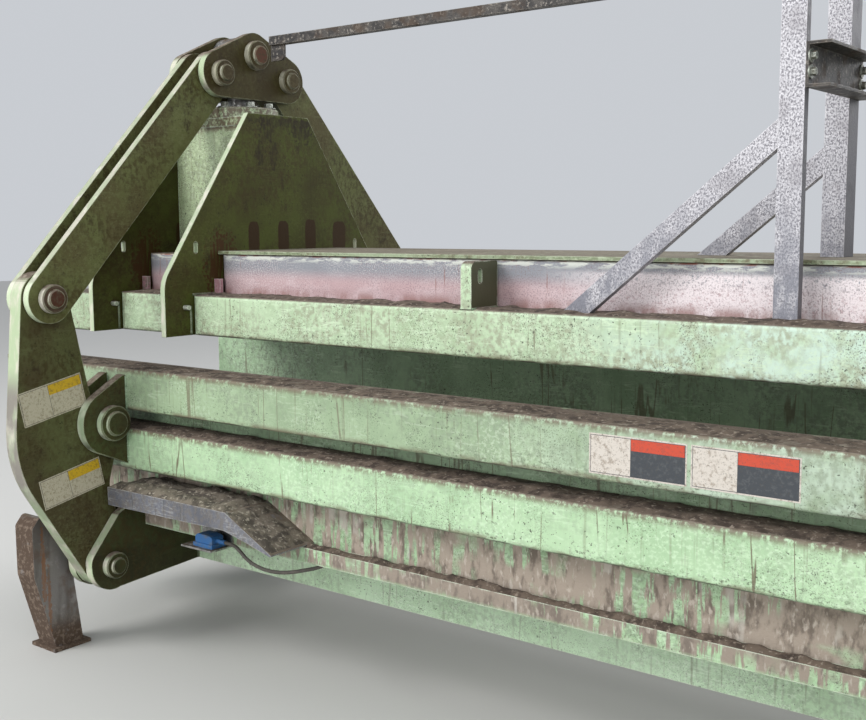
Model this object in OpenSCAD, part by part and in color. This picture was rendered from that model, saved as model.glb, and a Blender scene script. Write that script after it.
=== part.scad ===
/* [Layout along the machine] */
// Reach of the side walls past the tensioner, towards the discharge end
disch_over = 730; // [600:10:900]
// Distance from the tensioner to the hinge line of the walls
wall_reach = 3200; // [2900:10:3600]
// Room between the hinge line and the ring frame
ring_gap = 60; // [58:1:90]
// Length of the ring frame
ring_len = 150; // [120:5:220]
// Length of the press section behind the ring frame
press_len = 1740; // [1600:10:2000]
// Length of the rear crosshead
rear_len = 200; // [150:5:260]
// Length of main cylinder behind the rear crosshead
barrel_out = 1180; // [1100:10:1400]
// Reach of the floor and lower side plates past the tensioner
floor_over = 600; // [450:10:700]
// Reach of the top wall past the tensioner
top_over = 500; // [400:10:600]

/* [Bale chamber] */
// Half the clear width of the chamber
chamber_half = 500; // [450:5:560]
// Height of the chamber floor above the ground
floor_z = 515; // [480:5:600]
// Thickness of the floor plate
floor_t = 20; // [12:1:30]
// Half the width of the floor plate, out to the ledge
ledge_half = 600; // [585:5:640]
// Height of the ledge bar
ledge_h = 52; // [40:1:70]
// Thickness of the ledge bar
ledge_t = 15; // [10:1:20]
// Depth of the fixed lower side plates
low_side_d = 55; // [40:1:70]
// Top of the fixed lower side plates
low_side_z = 675; // [640:1:680]

/* [Base] */
// Half the distance over the bottom rails
rail_half = 345; // [320:5:380]
// Width of a bottom rail
rail_w = 120; // [90:5:150]
// Underside of the bottom rails above the ground
rail_z = 272; // [200:1:300]
// Wall of the bottom rails
rail_wall = 10; // [6:1:14]
// Spacing of the cross ties
tie_pitch = 680; // [500:10:700]
// Width of a cross tie
tie_w = 80; // [60:5:100]
// Height of a cross tie
tie_h = 120; // [80:5:150]
// Depth of an outrigger leg along the machine
leg_t = 110; // [90:1:120]
// Width of a leg at its ankle
ankle_w = 119; // [100:1:130]
// Width of a leg at its knee
knee_w = 163; // [150:1:180]
// Height of the arm that carries a leg
arm_h = 140; // [110:1:150]
// Height of a leg's shoulder above its arm
shoulder_h = 95; // [60:1:110]
// Thickness of a leg's sole plate
sole_t = 14; // [10:1:20]
// Reach of the sole plate past the leg
sole_over = 20; // [10:1:30]

/* [Side walls] */
// Height of the underside of the side walls
side_z = 690; // [685:1:720]
// Height of one side beam
side_beam_h = 157; // [130:1:170]
// Gap between the two side beams
side_beam_gap = 68; // [50:1:80]
// Depth of a side beam
side_beam_d = 155; // [120:1:170]
// Thickness of the side liner
liner_t = 15; // [10:1:20]
// Plate thickness of the formed beams
beam_wall = 10; // [6:1:14]
// Radius of the rounded beam ends
beam_end_r = 36; // [20:1:50]
// Radius of the long folds of the beams
fold_r = 12; // [6:1:20]

/* [Top wall] */
// Height of the platen's underside
platen_z = 1190; // [1150:1:1230]
// Thickness of the platen
platen_t = 20; // [12:1:25]
// Half the distance over the green edge beams
edge_half = 480; // [460:1:500]
// Width of the shelf on an edge beam
shelf_w = 150; // [120:1:180]
// Height of an edge beam
edge_h = 150; // [130:1:170]
// Height of a deck beam above the shelf
deck_h = 150; // [120:1:170]
// Width of a deck beam
deck_w = 150; // [120:1:170]
// Thickness of the deck plate
deck_t = 12; // [8:1:16]
// Overhang of the deck plate
deck_lip = 8; // [0:1:20]
// Distance from the tensioner to the lug plates
lug_x = 1490; // [1300:10:1700]
// Thickness of a lug plate
lug_t = 40; // [30:1:50]
// Width of the slot in a lug or gusset
slot_w = 20; // [14:1:26]
// Length of the slot in a lug or gusset
slot_l = 45; // [36:1:60]

/* [Gussets and cylinder] */
// Half the clear distance between the gusset plates
gusset_gap = 205; // [190:1:230]
// Thickness of a gusset plate
gusset_t = 25; // [18:1:32]
// Height of the gusset's top edge
gusset_top_z = 2035; // [1980:5:2050]
// Half the width of the gusset's top edge
gusset_top_half = 165; // [150:1:175]
// Half the width of the gusset's leg
gusset_half = 600; // [580:5:620]
// Height of the gusset's knee
gusset_knee_z = 1395; // [1380:1:1420]
// Radius of the gusset's knee
gusset_knee_r = 120; // [40:1:160]
// Half the width of the cylinder housing
housing_half = 160; // [150:1:165]
// Wall of the cylinder housing
housing_t = 15; // [10:1:20]
// Height of the housing's hose opening above its foot
port_low = 322; // [300:1:360]
// Height of that opening at its deep end
port_h = 341; // [300:1:360]
// Radius of the cylinder's round head flange
flange_r = 160; // [140:1:165]
// Thickness of the head flange
flange_t = 45; // [35:1:55]
// Outer radius of the tension cylinder
tension_r = 100; // [85:1:110]
// Length of the tension cylinder below its flange
tension_l = 430; // [400:10:460]
// Radius of the tension cylinder's rod
rod_r = 45; // [35:1:55]

/* [Tensioner linkage] */
// Side pin of the crosshead, distance from the middle
cross_pin_y = 183; // [175:1:195]
// Height of the crosshead's side pins over the head flange
cross_rise = 124; // [112:1:140]
// Height of the crosshead's top pin over its side pins
cross_top_rise = 86; // [80:1:106]
// Outer radius of the crosshead plates
cross_r = 90; // [84:1:95]
// Lever's middle pin, distance out from the side wall's face
mid_pin_out = 70; // [68:1:80]
// Lever's middle pin, height over the side wall's underside
mid_pin_up = 186; // [170:1:200]
// Lever's top pin, distance out from its middle pin
top_pin_out = 229; // [210:1:245]
// Lever's top pin, height over its middle pin
top_pin_up = 471; // [450:1:490]
// Lever's base pin, distance out from its middle pin
base_pin_out = 14; // [10:1:20]
// Lever's base pin, depth under its middle pin
base_pin_down = 536; // [530:1:540]
// Thickness of a lever
lever_t = 64; // [56:1:70]
// Lever's elbow, distance out from its middle pin
elbow_out = 376; // [360:1:390]
// Lever's elbow, depth under its middle pin
elbow_down = 119; // [100:1:140]
// Radius of the lever's elbow
elbow_r = 420; // [380:5:450]
// Lever's inner face under the wall, distance in from its base pin
shin_in = 24; // [15:1:30]
// Height of that face's corner over the base pin
shin_up = 300; // [280:1:320]
// Lever's inner face over the wall, distance out from its middle pin
chest_out = 57; // [50:1:65]
// Height of that face's corner over the middle pin
chest_up = 95; // [85:1:105]
// Radius of the lever's inner corners
lever_inner_r = 60; // [40:1:80]
// Thickness of a link plate
link_t = 32; // [25:1:36]
// Radius of a link's round ends
link_r = 87.5; // [80:0.5:92]
// Thickness of a crosshead plate
cross_t = 32; // [25:1:36]
// Thickness of an ear or bracket plate
ear_t = 38; // [30:1:42]
// Side gap between moving plates
side_gap = 3; // [2:0.5:4]
// Radius of the crosshead's side pins
cross_pin_r = 32; // [26:1:36]
// Radius of the crosshead's top pin
cross_top_r = 37; // [30:1:42]
// Radius of the lever's top pins
top_pin_r = 33; // [26:1:38]
// Radius of the lever's middle pins
mid_pin_r = 34; // [28:1:38]
// Radius of the lever's base pins
base_pin_r = 31; // [26:1:38]
// Thickness of a pin's collar
collar_t = 28; // [20:1:32]
// Length of a pin's end outside its collar
pin_tip = 12; // [6:1:16]
// Radius of a collar on the lever's middle pin
mid_collar_r = 66; // [56:1:67]
// Radius of the proud end of the lever's middle pin
mid_end_r = 45; // [40:1:50]

/* [Supports on the top wall] */
// Width of a post
post_w = 66; // [50:1:80]
// Depth of a post or brace
post_d = 28; // [20:1:40]
// Distance from the tensioner to the posts
post_x = 2455; // [2300:5:2500]
// Height of the posts' top ends
post_top_z = 2360; // [2350:1:2400]
// Outer face of the front post, distance from the middle
post_half = 420; // [400:1:440]
// Depth of the post on the deck
deck_post_d = 80; // [60:1:90]
// Width of a brace
brace_w = 58; // [45:1:70]
// Slope of the braces in degrees
brace_slope = 39.3; // [36:0.1:42]
// Run of the front brace along the shelf
brace_run = 640; // [560:5:640]
// Run of the deck brace along the deck
deck_brace_run = 385; // [340:5:400]
// Height of the cross channel's underside
channel_z = 1936; // [1900:1:1980]
// Height of the cross channel
channel_h = 113; // [90:1:120]
// Depth of the cross channel
channel_d = 64; // [50:1:70]
// Size of the square rail
guard_s = 34; // [28:1:40]
// Depth of the rail's underside below the posts' top ends
guard_drop = 59; // [50:1:70]
// Distance from the tensioner to the rail's free end
guard_x = 242; // [236:1:280]
// Length of the tab under the rail's free end
tab_l = 70; // [50:1:90]
// Height of the tab
tab_h = 60; // [40:1:80]
// Thickness of the tab
tab_t = 12; // [8:1:16]

/* [Press] */
// Thickness of the press side plates
press_t = 20; // [15:1:25]
// Height of the press side plates
press_top_z = 1560; // [1500:10:1700]
// Length of the feed opening
feed_l = 1000; // [900:10:1050]
// Length of the ram head
ram_l = 400; // [300:10:420]
// Stroke of the ram
ram_stroke = 1200; // [1100:10:1220]
// Radius of the ram's rod
ram_rod_r = 50; // [40:1:55]
// Outer radius of the main cylinder
main_r = 110; // [100:1:125]
// Height of the ram's axis
ram_z = 850; // [800:5:880]
// Room between the ram head and the chamber
ram_gap = 4; // [3:0.5:8]
// Width over the ring frame, halved
ring_half = 820; // [780:10:860]
// Half the width between the frames' legs
leg_gap_half = 345; // [345:1:350]
// Radius of the anchor and flange bolt holes
bolt_hole_r = 13; // [10:0.5:16]

/* [Hidden] */

$fn = 64;
// Steps on each rounded corner of an outline
corner_steps = 8;
// Steps round the end of a lever
end_steps = 28;
// Radial clearance of a pin that turns or slides in its bore
run_gap = 0.05;
// Radial clearance at the lower bore of a link
link_play = 3;
// Radial clearance of the lever's middle pin in the ears
ear_play = 2.5;
// Small overrun that makes a cut pass its face
cut = 1;

overall_l = disch_over + wall_reach + ring_gap + ring_len + press_len + rear_len + barrel_out;
tens_x = disch_over - overall_l / 2;
ring_x = wall_reach + ring_gap;
press_x = ring_x + ring_len;
rear_x = press_x + press_len;
rear_end = rear_x + rear_len;
machine_end = rear_end + barrel_out;

// Layers of the linkage, from the middle plane outwards
lever_half = lever_t / 2;
link_x = lever_half + side_gap;
cross_x = link_x + link_t + side_gap;
ear_x = lever_half + side_gap;

side_in = chamber_half;
side_beam_in = side_in + liner_t;
side_out = side_beam_in + side_beam_d;
side_top = side_z + 2 * side_beam_h + side_beam_gap;
upper_z = side_top - side_beam_h;
wall_end = wall_reach - 70;
end_plate_t = 20;
knuckle_r = 50;
hinge_r = 25;
side_eye_r = 60;
top_eye_r = 45;
eye_room = 5;
lug_plate_t = 25;
lug_room = 10;
side_hinge_y = side_in + (side_out - side_in) / 2;

edge_in = edge_half - shelf_w;
shelf_z = platen_z + edge_h;
deck_z = shelf_z + deck_h;
deck_in = edge_in - deck_w;
top_hinge_z = platen_z + 110;
gusset_out = gusset_gap + gusset_t;
gusset_foot_z = platen_z;
flange_z = gusset_top_z - 10;
flange_top = flange_z + flange_t;
head_plate_t = 34;
head_plate_lip = 6;
slot_y = 447;
slot_z = 1517;
cross_pin_z = flange_top + cross_rise;
cross_top_z = cross_pin_z + cross_top_rise;
lever_mid_y = side_out + mid_pin_out;
lever_mid_z = side_z + mid_pin_up;
lever_top_y = lever_mid_y + top_pin_out;
lever_top_z = lever_mid_z + top_pin_up;
lever_base_y = lever_mid_y + base_pin_out;
lever_base_z = lever_mid_z - base_pin_down;
guard_z = post_top_z - guard_drop;

press_floor_half = chamber_half + press_t;
feed_x = press_x + 120;
ram_x = rear_x - ram_l - 150;
foot_t = 25;
foot_over = 40;
leg_room = 8;
arm_drop = 28;
ankle_out = 12;
knee_out = 48;
leg_bend_r = 40;
leg_corner_r = 20;
weld_gap = 0.3;
rail_top = floor_z - floor_t;

function unit(v) = v / norm(v);
function flat(p) = [p[0], p[1]];
function turn(a) = a > 180 ? a - 360 : a < -180 ? a + 360 : a;

// Points of a corner at b with radius b[2], between its neighbours a and c
function corner(a, b, c) = b[2] <= 0 ? [flat(b)] :
    let (u = unit(flat(a) - flat(b)),
         v = unit(flat(c) - flat(b)),
         half = acos(u * v) / 2,
         mid = flat(b) + unit(u + v) * b[2] / sin(half),
         s = flat(b) + u * b[2] / tan(half) - mid,
         e = flat(b) + v * b[2] / tan(half) - mid,
         a0 = atan2(s[1], s[0]),
         sweep = turn(atan2(e[1], e[0]) - a0))
    [for (i = [0:corner_steps]) mid + b[2] * [cos(a0 + sweep * i / corner_steps),
        sin(a0 + sweep * i / corner_steps)]];

// Outline of corners given as [x, y, radius]
function outline(p) = [for (i = [0:len(p) - 1])
    each corner(p[(i + len(p) - 1) % len(p)], p[i], p[(i + 1) % len(p)])];

// Straight stretches of a belt of radius r round pivots listed anticlockwise
function belt(c, r) = [for (i = [0:len(c) - 1])
    let (a = c[i], b = c[(i + 1) % len(c)], d = unit(b - a), n = [d[1], -d[0]])
    each [a + r * n, b + r * n]];

module placed() {
    translate([tens_x, 0, 0]) children();
}

module on_side(side) {
    if (side > 0) children();
    else mirror([0, 1, 0]) children();
}

module both_sides() {
    children();
    mirror([0, 1, 0]) children();
}

module both_ends() {
    children();
    mirror([1, 0, 0]) children();
}

module slab_x(x0, t) {
    translate([x0, 0, 0]) rotate([90, 0, 90]) linear_extrude(t) children();
}

module slab_y(y0, t) {
    translate([0, y0 + t, 0]) rotate([90, 0, 0]) linear_extrude(t) children();
}

module slab_z(z0, t) {
    translate([0, 0, z0]) linear_extrude(t) children();
}

module bar(x, y, z) {
    translate([x[0], y[0], z[0]]) cube([x[1] - x[0], y[1] - y[0], z[1] - z[0]]);
}

module rod_x(x0, x1, y, z, r) {
    translate([x0, y, z]) rotate([0, 90, 0]) cylinder(h = x1 - x0, r = r);
}

module rod_y(x, y0, y1, z, r) {
    translate([x, y1, z]) rotate([90, 0, 0]) cylinder(h = y1 - y0, r = r);
}

module rod_z(x, y, z0, z1, r) {
    translate([x, y, z0]) cylinder(h = z1 - z0, r = r);
}

module belt_shape(c, r) {
    polygon(belt(c, r));
    for (p = c) translate(p) circle(r);
}

// Pan-shaped beam of formed plate, open on its inner side, with rounded outer corners
module formed_beam(x, y, z, end_r) {
    w = beam_wall;
    difference() {
        intersection() {
            slab_z(z[0], z[1] - z[0]) polygon(outline([[x[0], y[0], 0], [x[1], y[0], 0],
                [x[1], y[1], end_r[1]], [x[0], y[1], end_r[0]]]));
            slab_x(x[0], x[1] - x[0]) polygon(outline([[y[0], z[0], 0], [y[1], z[0], fold_r],
                [y[1], z[1], fold_r], [y[0], z[1], 0]]));
        }
        slab_z(z[0] + w, z[1] - z[0] - 2 * w) polygon(outline([[x[0] + w, y[0] - cut, 0],
            [x[1] - w, y[0] - cut, 0], [x[1] - w, y[1] - w, max(0, end_r[1] - w)],
            [x[0] + w, y[1] - w, max(0, end_r[0] - w)]]));
    }
}

// Pin along X with a collar and a proud end on each side of the plates it holds
module collared_pin(y, z, r, collar_r, seat, end_r = 0) {
    e = seat + collar_t;
    c = 4;
    p = max(r, end_r);
    translate([0, y, z]) rotate([0, 90, 0]) rotate_extrude()
        polygon([[0, -e - pin_tip], [p - c, -e - pin_tip], [p, -e - pin_tip + c], [p, -e],
            [collar_r - c, -e], [collar_r, -e + c], [collar_r, -seat], [r, -seat],
            [r, seat], [collar_r, seat], [collar_r, e - c], [collar_r - c, e],
            [p, e], [p, e + pin_tip - c], [p - c, e + pin_tip], [0, e + pin_tip]]);
}

module hollow_bar(x, y, z, t) {
    difference() {
        bar(x, y, z);
        bar([x[0] - cut, x[1] + cut], [y[0] + t, y[1] - t], [z[0] + t, z[1] - t]);
    }
}

module slot_shape() {
    for (s = [-1, 1]) translate([0, s * (slot_l - slot_w) / 2]) circle(slot_w / 2, $fn = 24);
    square([slot_w, slot_l - slot_w], center = true);
}

/* Base and fixed lower channel */

module base_rails() color("darkseagreen") placed() {
    both_sides() hollow_bar([-floor_over, rear_end], [rail_half - rail_w, rail_half],
        [rail_z, rail_top], rail_wall);
    tie_half = rail_half - rail_w - weld_gap;
    for (x = [-floor_over + 60 : tie_pitch : rear_x - tie_w])
        bar([x, x + tie_w], [-tie_half, tie_half], [rail_top - tie_h, rail_top]);
}

module chamber_floor() color("darkseagreen") placed() {
    slab_z(rail_top, floor_t) polygon([[-floor_over, -ledge_half], [ring_x, -ledge_half],
        [ring_x, -chamber_half], [press_x, -chamber_half], [press_x, -press_floor_half],
        [rear_x, -press_floor_half], [rear_x, press_floor_half], [press_x, press_floor_half],
        [press_x, chamber_half], [ring_x, chamber_half], [ring_x, ledge_half],
        [-floor_over, ledge_half]]);
    both_sides() bar([-floor_over, ring_x], [ledge_half - ledge_t, ledge_half],
        [floor_z - ledge_h, floor_z]);
}

// Fixed side of the channel, cut away under the hinge eyes of the ring frame
module lower_side(side) placed() on_side(side) difference() {
    hollow_bar([-floor_over, ring_x], [chamber_half, chamber_half + low_side_d],
        [floor_z, low_side_z], 10);
    bar([wall_reach - side_eye_r - eye_room, ring_x + cut],
        [chamber_half - cut, chamber_half + low_side_d + cut],
        [side_z - lug_room - lug_plate_t - eye_room, low_side_z + cut]);
}

module lower_side_front() color("darkseagreen") lower_side(-1);
module lower_side_rear() color("darkseagreen") lower_side(1);

// Two plates and a root block that stand out from a bottom rail and hold the base pin
module lower_bracket(side) placed() on_side(side) {
    root = 40;
    eye_r = 95;
    ledge_under = floor_z - ledge_h;
    top = floor_z + 45;
    difference() {
        union() {
            both_ends() slab_x(ear_x, ear_t) union() {
                polygon(outline([[rail_half, rail_z, 0],
                    [lever_base_y + 40, lever_base_z - eye_r, 60],
                    [lever_base_y + 110, lever_base_z + 20, 60], [lever_base_y - 30, top - 35, 30],
                    [ledge_half + 60, top, 0], [ledge_half, top, 0], [ledge_half, ledge_under, 0],
                    [rail_half, ledge_under, 0]]));
                translate([lever_base_y, lever_base_z]) circle(eye_r);
            }
            bar([-ear_x - cut, ear_x + cut], [rail_half, rail_half + root],
                [rail_z, ledge_under]);
        }
        rod_x(-ear_x - ear_t - cut, ear_x + ear_t + cut, lever_base_y, lever_base_z,
            base_pin_r + run_gap);
    }
}

module lower_bracket_front() color("darkolivegreen") lower_bracket(-1);
module lower_bracket_rear() color("darkolivegreen") lower_bracket(1);

module base_pin(side) placed() on_side(side)
    collared_pin(lever_base_y, lever_base_z, base_pin_r, 49.5, ear_x + ear_t);

module base_pin_front() color("darkseagreen") base_pin(-1);
module base_pin_rear() color("darkseagreen") base_pin(1);

// Arm from a bottom rail and leg down to the ground, beside the lever's bracket
module outrigger_leg(side) placed() on_side(side) {
    near = -ear_x - ear_t - collar_t - pin_tip - leg_room;
    low = rail_z + arm_drop;
    high = low + arm_h;
    ankle = lever_base_y + ankle_out;
    knee = lever_base_y + knee_out;
    outer = knee + knee_w;
    slab_x(near - leg_t, leg_t) polygon(outline([[rail_half, low, 0], [knee, low, leg_bend_r],
        [ankle, sole_t, 0], [ankle + ankle_w, sole_t, 0], [outer, low, leg_bend_r],
        [outer, high + shoulder_h / 2, leg_corner_r],
        [outer - leg_bend_r, high + shoulder_h, leg_corner_r],
        [knee + leg_bend_r, high, leg_bend_r], [rail_half, high, 0]]));
    bar([near - leg_t - sole_over, near + sole_over],
        [ankle - sole_over, ankle + ankle_w + sole_over], [0, sole_t]);
}

module outrigger_leg_front() color("dimgray") outrigger_leg(-1);
module outrigger_leg_rear() color("dimgray") outrigger_leg(1);

/* Frames, press and feed */

// Upright frame of two plates with a rim, two legs and drilled foot plates
module portal(x0, len, half, top) {
    plate = 25;
    foot_in = leg_gap_half + 25;
    module profile(grow) {
        difference() {
            polygon([[-half + grow, 0], [half - grow, 0], [half - grow, top - grow],
                [-half + grow, top - grow]]);
            translate([-leg_gap_half - grow, -cut])
                square([2 * (leg_gap_half + grow), rail_z - 30 + cut + grow]);
            both_rails(grow);
        }
    }
    module both_rails(grow) {
        for (s = [-1, 1])
            translate([s * (rail_half - rail_w / 2), (rail_z + rail_top) / 2])
                square([rail_w + 2 * grow, rail_top - rail_z + 2 * grow], center = true);
    }
    difference() {
        union() {
            for (x = [x0, x0 + len - plate]) slab_x(x, plate) profile(0);
            slab_x(x0 + plate - cut, len - 2 * plate + 2 * cut) difference() {
                profile(0);
                profile(plate);
            }
            both_sides() bar([x0 - foot_over, x0 + len + foot_over], [foot_in - 25, half],
                [0, foot_t]);
        }
        for (s = [-1, 1], x = [x0 - foot_over / 2, x0 + len + foot_over / 2])
            rod_z(x, s * (leg_gap_half + half) / 2, -cut, foot_t + cut, bolt_hole_r);
    }
}

module ring_frame() color("darkseagreen") placed() {
    difference() {
        union() {
            portal(ring_x, ring_len, ring_half, press_top_z);
            slab_x(ring_x, ring_len) translate([-chamber_half - 20, rail_top - 20])
                square([2 * chamber_half + 40, platen_z - rail_top + 40]);
            both_sides() for (z = [side_z - lug_room - lug_plate_t, side_top + lug_room])
                slab_z(z, lug_plate_t) {
                    translate([wall_reach, side_hinge_y]) circle(side_eye_r);
                    translate([wall_reach, side_hinge_y - side_eye_r])
                        square([ring_gap, 2 * side_eye_r]);
                }
            for (s = [-1, 1]) translate([0, s * 165 - 15, 0]) slab_y(0, 30) {
                translate([wall_reach, top_hinge_z]) circle(top_eye_r);
                translate([wall_reach, top_hinge_z - top_eye_r]) square([ring_gap, 2 * top_eye_r]);
            }
        }
        bar([ring_x - cut, press_x + cut], [-chamber_half, chamber_half], [rail_top, platen_z]);
        both_sides() bar([ring_x - cut, press_x + cut], [rail_half - rail_w, rail_half],
            [rail_z, rail_top + cut]);
        both_sides() rod_z(wall_reach, side_hinge_y, side_z - 80, side_top + 80,
            hinge_r + run_gap);
        rod_y(wall_reach, -220, 220, top_hinge_z, hinge_r + run_gap);
    }
}

module side_hinge_pin(side) placed() on_side(side)
    translate([wall_reach, side_hinge_y, 0]) rotate_extrude() {
        low = side_z - lug_room - lug_plate_t;
        high = side_top + lug_room + lug_plate_t;
        polygon([[0, low - 12], [hinge_r - 3, low - 12], [hinge_r, low - 9], [hinge_r, high],
            [38, high], [38, high + 12], [35, high + 15], [0, high + 15]]);
    }

module side_hinge_pin_front() color("slategray") side_hinge_pin(-1);
module side_hinge_pin_rear() color("slategray") side_hinge_pin(1);

module top_hinge_pin() color("slategray") placed()
    translate([wall_reach, 0, top_hinge_z]) rotate([90, 0, 0]) rotate_extrude()
        polygon([[0, -195], [38, -195], [38, -180], [hinge_r, -180], [hinge_r, 188],
            [hinge_r - 3, 191], [0, 191]]);

module press_side(side) placed() on_side(side) {
    rib_w = 80;
    rib_d = 90;
    rib_count = 4;
    slab_y(chamber_half, press_t) translate([press_x, floor_z])
        square([press_len, press_top_z - floor_z]);
    pitch = (press_len - rib_w) / rib_count;
    for (i = [0:rib_count - 1])
        translate([press_x + 60 + pitch * (i + 0.15), 0, 0]) difference() {
            bar([0, rib_w], [chamber_half + press_t, chamber_half + press_t + rib_d],
                [floor_z, press_top_z - 60]);
            bar([10, rib_w - 10], [chamber_half + press_t - cut, chamber_half + press_t + rib_d - 10],
                [floor_z - cut, press_top_z - 60 - 10]);
        }
}

module press_side_front() color("darkseagreen") press_side(-1);
module press_side_rear() color("darkseagreen") press_side(1);

module feed_throat() color("darkseagreen") placed() {
    flange = 70;
    wall = 15;
    feed_end = feed_x + feed_l;
    difference() {
        union() {
            bar([press_x, feed_x], [-chamber_half, chamber_half], [platen_z, platen_z + platen_t]);
            bar([feed_end, rear_x], [-chamber_half, chamber_half], [platen_z, platen_z + platen_t]);
            for (x = [feed_x - wall, feed_end])
                bar([x, x + wall], [-chamber_half, chamber_half], [platen_z, press_top_z]);
            bar([feed_x - flange, feed_end + flange], [-chamber_half - flange, chamber_half + flange],
                [press_top_z, press_top_z + wall]);
        }
        bar([feed_x, feed_end], [-chamber_half, chamber_half],
            [press_top_z - cut, press_top_z + wall + cut]);
        for (x = [feed_x - flange / 2, feed_end + flange / 2], s = [-1, 1])
            rod_z(x, s * (chamber_half + flange / 2), press_top_z - cut,
                press_top_z + wall + cut, bolt_hole_r);
    }
}

module rear_crosshead() color("darkseagreen") placed() {
    difference() {
        union() {
            portal(rear_x, rear_len, press_floor_half + 80, press_top_z - 200);
            rod_x(rear_x, rear_end, 0, ram_z, main_r + 40);
        }
        rod_x(rear_x - cut, rear_end + cut, 0, ram_z, main_r);
    }
}

module main_barrel() color("dimgray") placed()
    translate([rear_x - 100, 0, ram_z]) rotate([0, 90, 0]) rotate_extrude() {
        len = machine_end - rear_x + 100;
        bore = main_r - 20;
        gland = 120;
        seat = 100 + rear_len;
        polygon([[ram_rod_r + run_gap, 0], [main_r, 0], [main_r, seat], [main_r + 50, seat],
            [main_r + 50, seat + 40], [main_r, seat + 40], [main_r, len - 10],
            [main_r - 10, len], [0, len], [0, len - 60], [bore, len - 60], [bore, gland],
            [ram_rod_r + run_gap, gland]]);
    }

module ram_head() color("darkgray") placed() {
    wall = 18;
    y = chamber_half - ram_gap;
    z0 = floor_z + 0.3;
    z1 = platen_z - ram_gap;
    difference() {
        union() {
            difference() {
                bar([ram_x, ram_x + ram_l], [-y, y], [z0, z1]);
                bar([ram_x + 35, ram_x + ram_l + cut], [-y + wall, y - wall], [z0 + wall, z1 - wall]);
            }
            for (s = [-1, 1]) bar([ram_x + 30, ram_x + ram_l - 60],
                [s * 240 - 8, s * 240 + 8], [z0 + wall - cut, z1 - wall + cut]);
            rod_x(ram_x + 30, ram_x + 160, 0, ram_z, ram_rod_r + 35);
        }
        rod_x(ram_x + 35, ram_x + 170, 0, ram_z, ram_rod_r + run_gap);
    }
}

module ram_rod() color("silver") placed()
    translate([ram_x + 35, 0, ram_z]) rotate([0, 90, 0]) rotate_extrude() {
        piston = main_r - 20 - run_gap;
        len = machine_end - 60 - 10 - ram_x - 35;
        polygon([[0, 0], [ram_rod_r, 0], [ram_rod_r, len - 80], [piston, len - 80],
            [piston, len - 4], [piston - 4, len], [0, len]]);
    }

/* Sensor group */

sensor_x = 450;
sensor_l = 125;
sensor_y = 655;
tray_z = floor_z - ledge_h;

module sensor_hood() color("slategray") placed() on_side(-1) {
    t = 5;
    left = 62;
    fold = 702;
    tip = 922;
    top = 636;
    tip_z = 524;
    lip_z = 568;
    back = chamber_half + low_side_d;
    front = 760;
    slab_y(front - t, t) polygon([[left, lip_z], [fold - 10, lip_z + 4], [fold + 110, lip_z - 22],
        [tip - 4, tip_z - 6], [tip, tip_z], [fold, top], [left, top]]);
    slab_y(back, front - back) polygon([[left, top], [fold, top], [tip, tip_z],
        [tip - 2, tip_z - t], [fold - 1, top - t], [left, top - t]]);
    bar([left, left + t], [back, front], [lip_z, top]);
    bar([left, fold - 2], [back, back + t], [lip_z + 20, top]);
}

module sensor_bracket() color("gray") placed() on_side(-1) {
    bar([sensor_x - 45, sensor_x + sensor_l - 10], [ledge_half, 705], [tray_z - 6, tray_z]);
    bar([sensor_x - 45, sensor_x + sensor_l - 10], [ledge_half, ledge_half + 6],
        [tray_z - cut, floor_z - 6]);
}

module sensor() color("steelblue") placed() on_side(-1) {
    bar([sensor_x, sensor_x + 100], [sensor_y - 32, sensor_y + 32], [tray_z, tray_z + 14]);
    slab_y(sensor_y - 26, 52) translate([sensor_x, tray_z]) polygon(outline([[6, 10, 0],
        [94, 10, 0], [94, 40, 8], [60, 46, 10], [20, 46, 10], [6, 36, 6]]));
    rod_x(sensor_x + 90, sensor_x + sensor_l + 10, sensor_y, tray_z + 24, 9);
}

cable_d = 13;
cable_sides = 10;
cable_route = [[585, -655, 487], [612, -655, 487], [638, -655, 482], [660, -654, 468],
    [682, -653, 451], [708, -651, 437], [738, -649, 428], [770, -646, 422], [802, -642, 420],
    [834, -636, 421], [866, -628, 425], [896, -617, 431], [924, -604, 438], [949, -590, 444],
    [972, -576, 452], [983, -567, 466], [985, -565, 477], [985, -565, 483]];

// Frame of the sweep at point i: the direction across the cable
function along(i) = unit(cable_route[min(i + 1, len(cable_route) - 1)] - cable_route[max(i - 1, 0)]);
function across(i) = unit(cross(along(i), [0.1, 0.9, 0.3]));
function ring_at(i) = let (u = across(i), v = cross(along(i), u))
    [for (k = [0:cable_sides - 1]) cable_route[i]
        + cable_d / 2 * (u * cos(360 * k / cable_sides) + v * sin(360 * k / cable_sides))];

module sensor_cable() color("dimgray") placed() {
    n = len(cable_route);
    m = cable_sides;
    polyhedron([for (i = [0:n - 1]) each ring_at(i)],
        concat([[for (k = [0:m - 1]) k]], [[for (k = [m - 1:-1:0]) (n - 1) * m + k]],
            [for (i = [0:n - 2], k = [0:m - 1])
                [i * m + k, (i + 1) * m + k, (i + 1) * m + (k + 1) % m, i * m + (k + 1) % m]]));
}

module cable_grommet() color("dimgray") placed()
    translate([985, -565, 483]) cylinder(h = rail_top - 483, r = 13);

/* Side walls */

lever_mid = [lever_mid_y, lever_mid_z];

// Direction from c to the point where a line from p touches the circle of radius r round c
function touch(c, r, p, s) = atan2(p[1] - c[1], p[0] - c[0]) + s * acos(r / norm(p - c));

module side_beam(side, z) placed() on_side(side)
    formed_beam([-disch_over, wall_end], [side_beam_in, side_out], [z, z + side_beam_h],
        [beam_end_r, 0]);

module upper_beam_front() color("darkseagreen") side_beam(-1, upper_z);
module upper_beam_rear() color("darkseagreen") side_beam(1, upper_z);
module lower_beam_front() color("darkseagreen") side_beam(-1, side_z);
module lower_beam_rear() color("darkseagreen") side_beam(1, side_z);

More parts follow.
